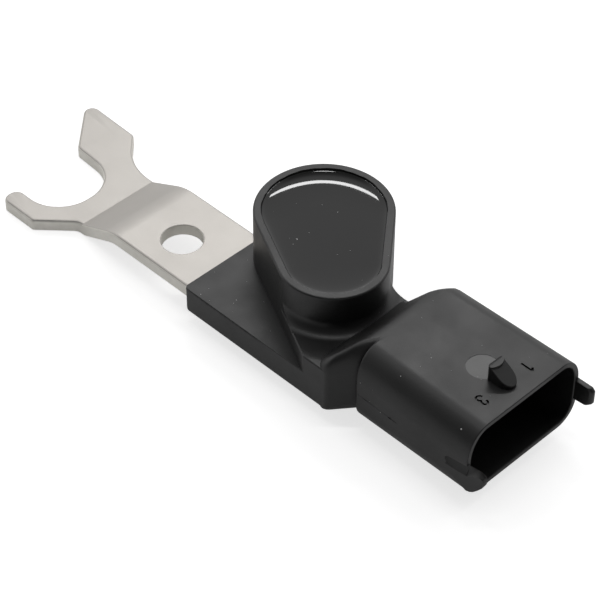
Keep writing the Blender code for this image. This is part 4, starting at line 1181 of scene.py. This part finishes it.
def make_floor():
    """Pale floor, a little brighter to the camera and in reflections than its lamps make it."""
    builder = bmesh.new()
    bmesh.ops.create_grid(builder, x_segments=1, y_segments=1, size=FLOOR_HALF_SIZE)
    floor = add_object("floor", builder)
    material = bpy.data.materials.new("floor_white")
    material.use_nodes = True
    tree = material.node_tree
    shader = tree.nodes["Principled BSDF"]
    shader.inputs["Base Color"].default_value = (*grey(FLOOR_COLOUR), 1.0)
    shader.inputs["Roughness"].default_value = FLOOR_ROUGHNESS
    glow = tree.nodes.new("ShaderNodeEmission")
    path = tree.nodes.new("ShaderNodeLightPath")
    seen = tree.nodes.new("ShaderNodeMath")
    seen.operation = "MULTIPLY"
    seen.inputs[1].default_value = FLOOR_FILL
    share = tree.nodes.new("ShaderNodeMath")
    share.operation = "MULTIPLY_ADD"
    share.inputs[1].default_value = FLOOR_MIRRORED
    both = tree.nodes.new("ShaderNodeAddShader")
    tree.links.new(path.outputs["Is Camera Ray"], seen.inputs[0])
    tree.links.new(path.outputs["Is Glossy Ray"], share.inputs[0])
    tree.links.new(seen.outputs["Value"], share.inputs[2])
    tree.links.new(share.outputs["Value"], glow.inputs["Strength"])
    tree.links.new(shader.outputs["BSDF"], both.inputs[0])
    tree.links.new(glow.outputs["Emission"], both.inputs[1])
    tree.links.new(both.outputs["Shader"], tree.nodes["Material Output"].inputs["Surface"])
    floor.data.materials.append(material)
    floor.location.z = -FLOOR_GAP
    return floor


def aim(azimuth, elevation, distance):
    """Place at a distance from the object, in a direction given in degrees."""
    level = math.cos(elevation * DEGREE) * distance
    return (
        level * math.cos(azimuth * DEGREE),
        level * math.sin(azimuth * DEGREE),
        math.sin(elevation * DEGREE) * distance,
    )


def make_light(name, place, target, size, power):
    """Soft rectangular lamp that looks at a point."""
    data = bpy.data.lights.new(name, "AREA")
    data.shape = "RECTANGLE"
    data.size, data.size_y = size
    data.energy = power
    lamp = bpy.data.objects.new(name, data)
    lamp.location = place
    lamp.rotation_euler = (Vector(target) - Vector(place)).to_track_quat("-Z", "Y").to_euler()
    bpy.context.scene.collection.objects.link(lamp)
    return lamp


def make_world():
    """Light tent: white behind the object, dimmer overhead, dark round the camera."""
    world = bpy.data.worlds.new("light_tent")
    bpy.context.scene.world = world
    world.use_nodes = True
    tree = world.node_tree
    tree.nodes.clear()
    nodes = tree.nodes
    links = tree.links
    direction = nodes.new("ShaderNodeTexCoord").outputs["Generated"]
    factors = []
    azimuth = CAMERA_AZIMUTH * DEGREE
    for axis, (near, far, low) in (
        ((math.cos(azimuth), math.sin(azimuth), 0.0), TENT_TO_CAMERA),
        ((0.0, 0.0, 1.0), TENT_OVERHEAD),
    ):
        along = nodes.new("ShaderNodeVectorMath")
        along.operation = "DOT_PRODUCT"
        along.inputs[1].default_value = axis
        links.new(direction, along.inputs[0])
        fall = nodes.new("ShaderNodeMapRange")
        fall.interpolation_type = "SMOOTHSTEP"
        fall.inputs["From Min"].default_value = near
        fall.inputs["From Max"].default_value = far
        fall.inputs["To Min"].default_value = 1.0
        fall.inputs["To Max"].default_value = low
        links.new(along.outputs["Value"], fall.inputs["Value"])
        factors.append(fall.outputs["Result"])
    product = nodes.new("ShaderNodeMath")
    product.operation = "MULTIPLY"
    for index, factor in enumerate(factors):
        links.new(factor, product.inputs[index])
    tent = nodes.new("ShaderNodeBackground")
    seen = nodes.new("ShaderNodeBackground")
    links.new(product.outputs["Value"], tent.inputs["Strength"])
    for shader in (tent, seen):
        shader.inputs["Color"].default_value = (1.0, 1.0, 1.0, 1.0)
    seen.inputs["Strength"].default_value = 1.0
    mix = nodes.new("ShaderNodeMixShader")
    output = nodes.new("ShaderNodeOutputWorld")
    links.new(nodes.new("ShaderNodeLightPath").outputs["Is Camera Ray"], mix.inputs["Fac"])
    links.new(tent.outputs["Background"], mix.inputs[1])
    links.new(seen.outputs["Background"], mix.inputs[2])
    links.new(mix.outputs["Shader"], output.inputs["Surface"])


def make_camera():
    """Camera at the photograph's angle."""
    data = bpy.data.cameras.new("camera")
    data.lens = CAMERA_LENS
    data.sensor_width = CAMERA_SENSOR
    data.clip_start = 0.01
    data.clip_end = 20.0
    camera = bpy.data.objects.new("camera", data)
    tilt = Euler(((90.0 - CAMERA_ELEVATION) * DEGREE, 0.0, (90.0 + CAMERA_AZIMUTH) * DEGREE))
    turn = tilt.to_matrix() @ Matrix.Rotation(CAMERA_ROLL * DEGREE, 3, "Z")
    camera.matrix_world = Matrix.Translation(CAMERA_PLACE) @ turn.to_4x4()
    bpy.context.scene.collection.objects.link(camera)
    bpy.context.scene.camera = camera


make_floor()
for name, azimuth, elevation, distance, size, power in LAMPS:
    make_light(name, aim(azimuth, elevation, distance), LAMP_TARGET, size, power)
make_world()
make_camera()
bpy.context.scene.view_settings.view_transform = "Standard"
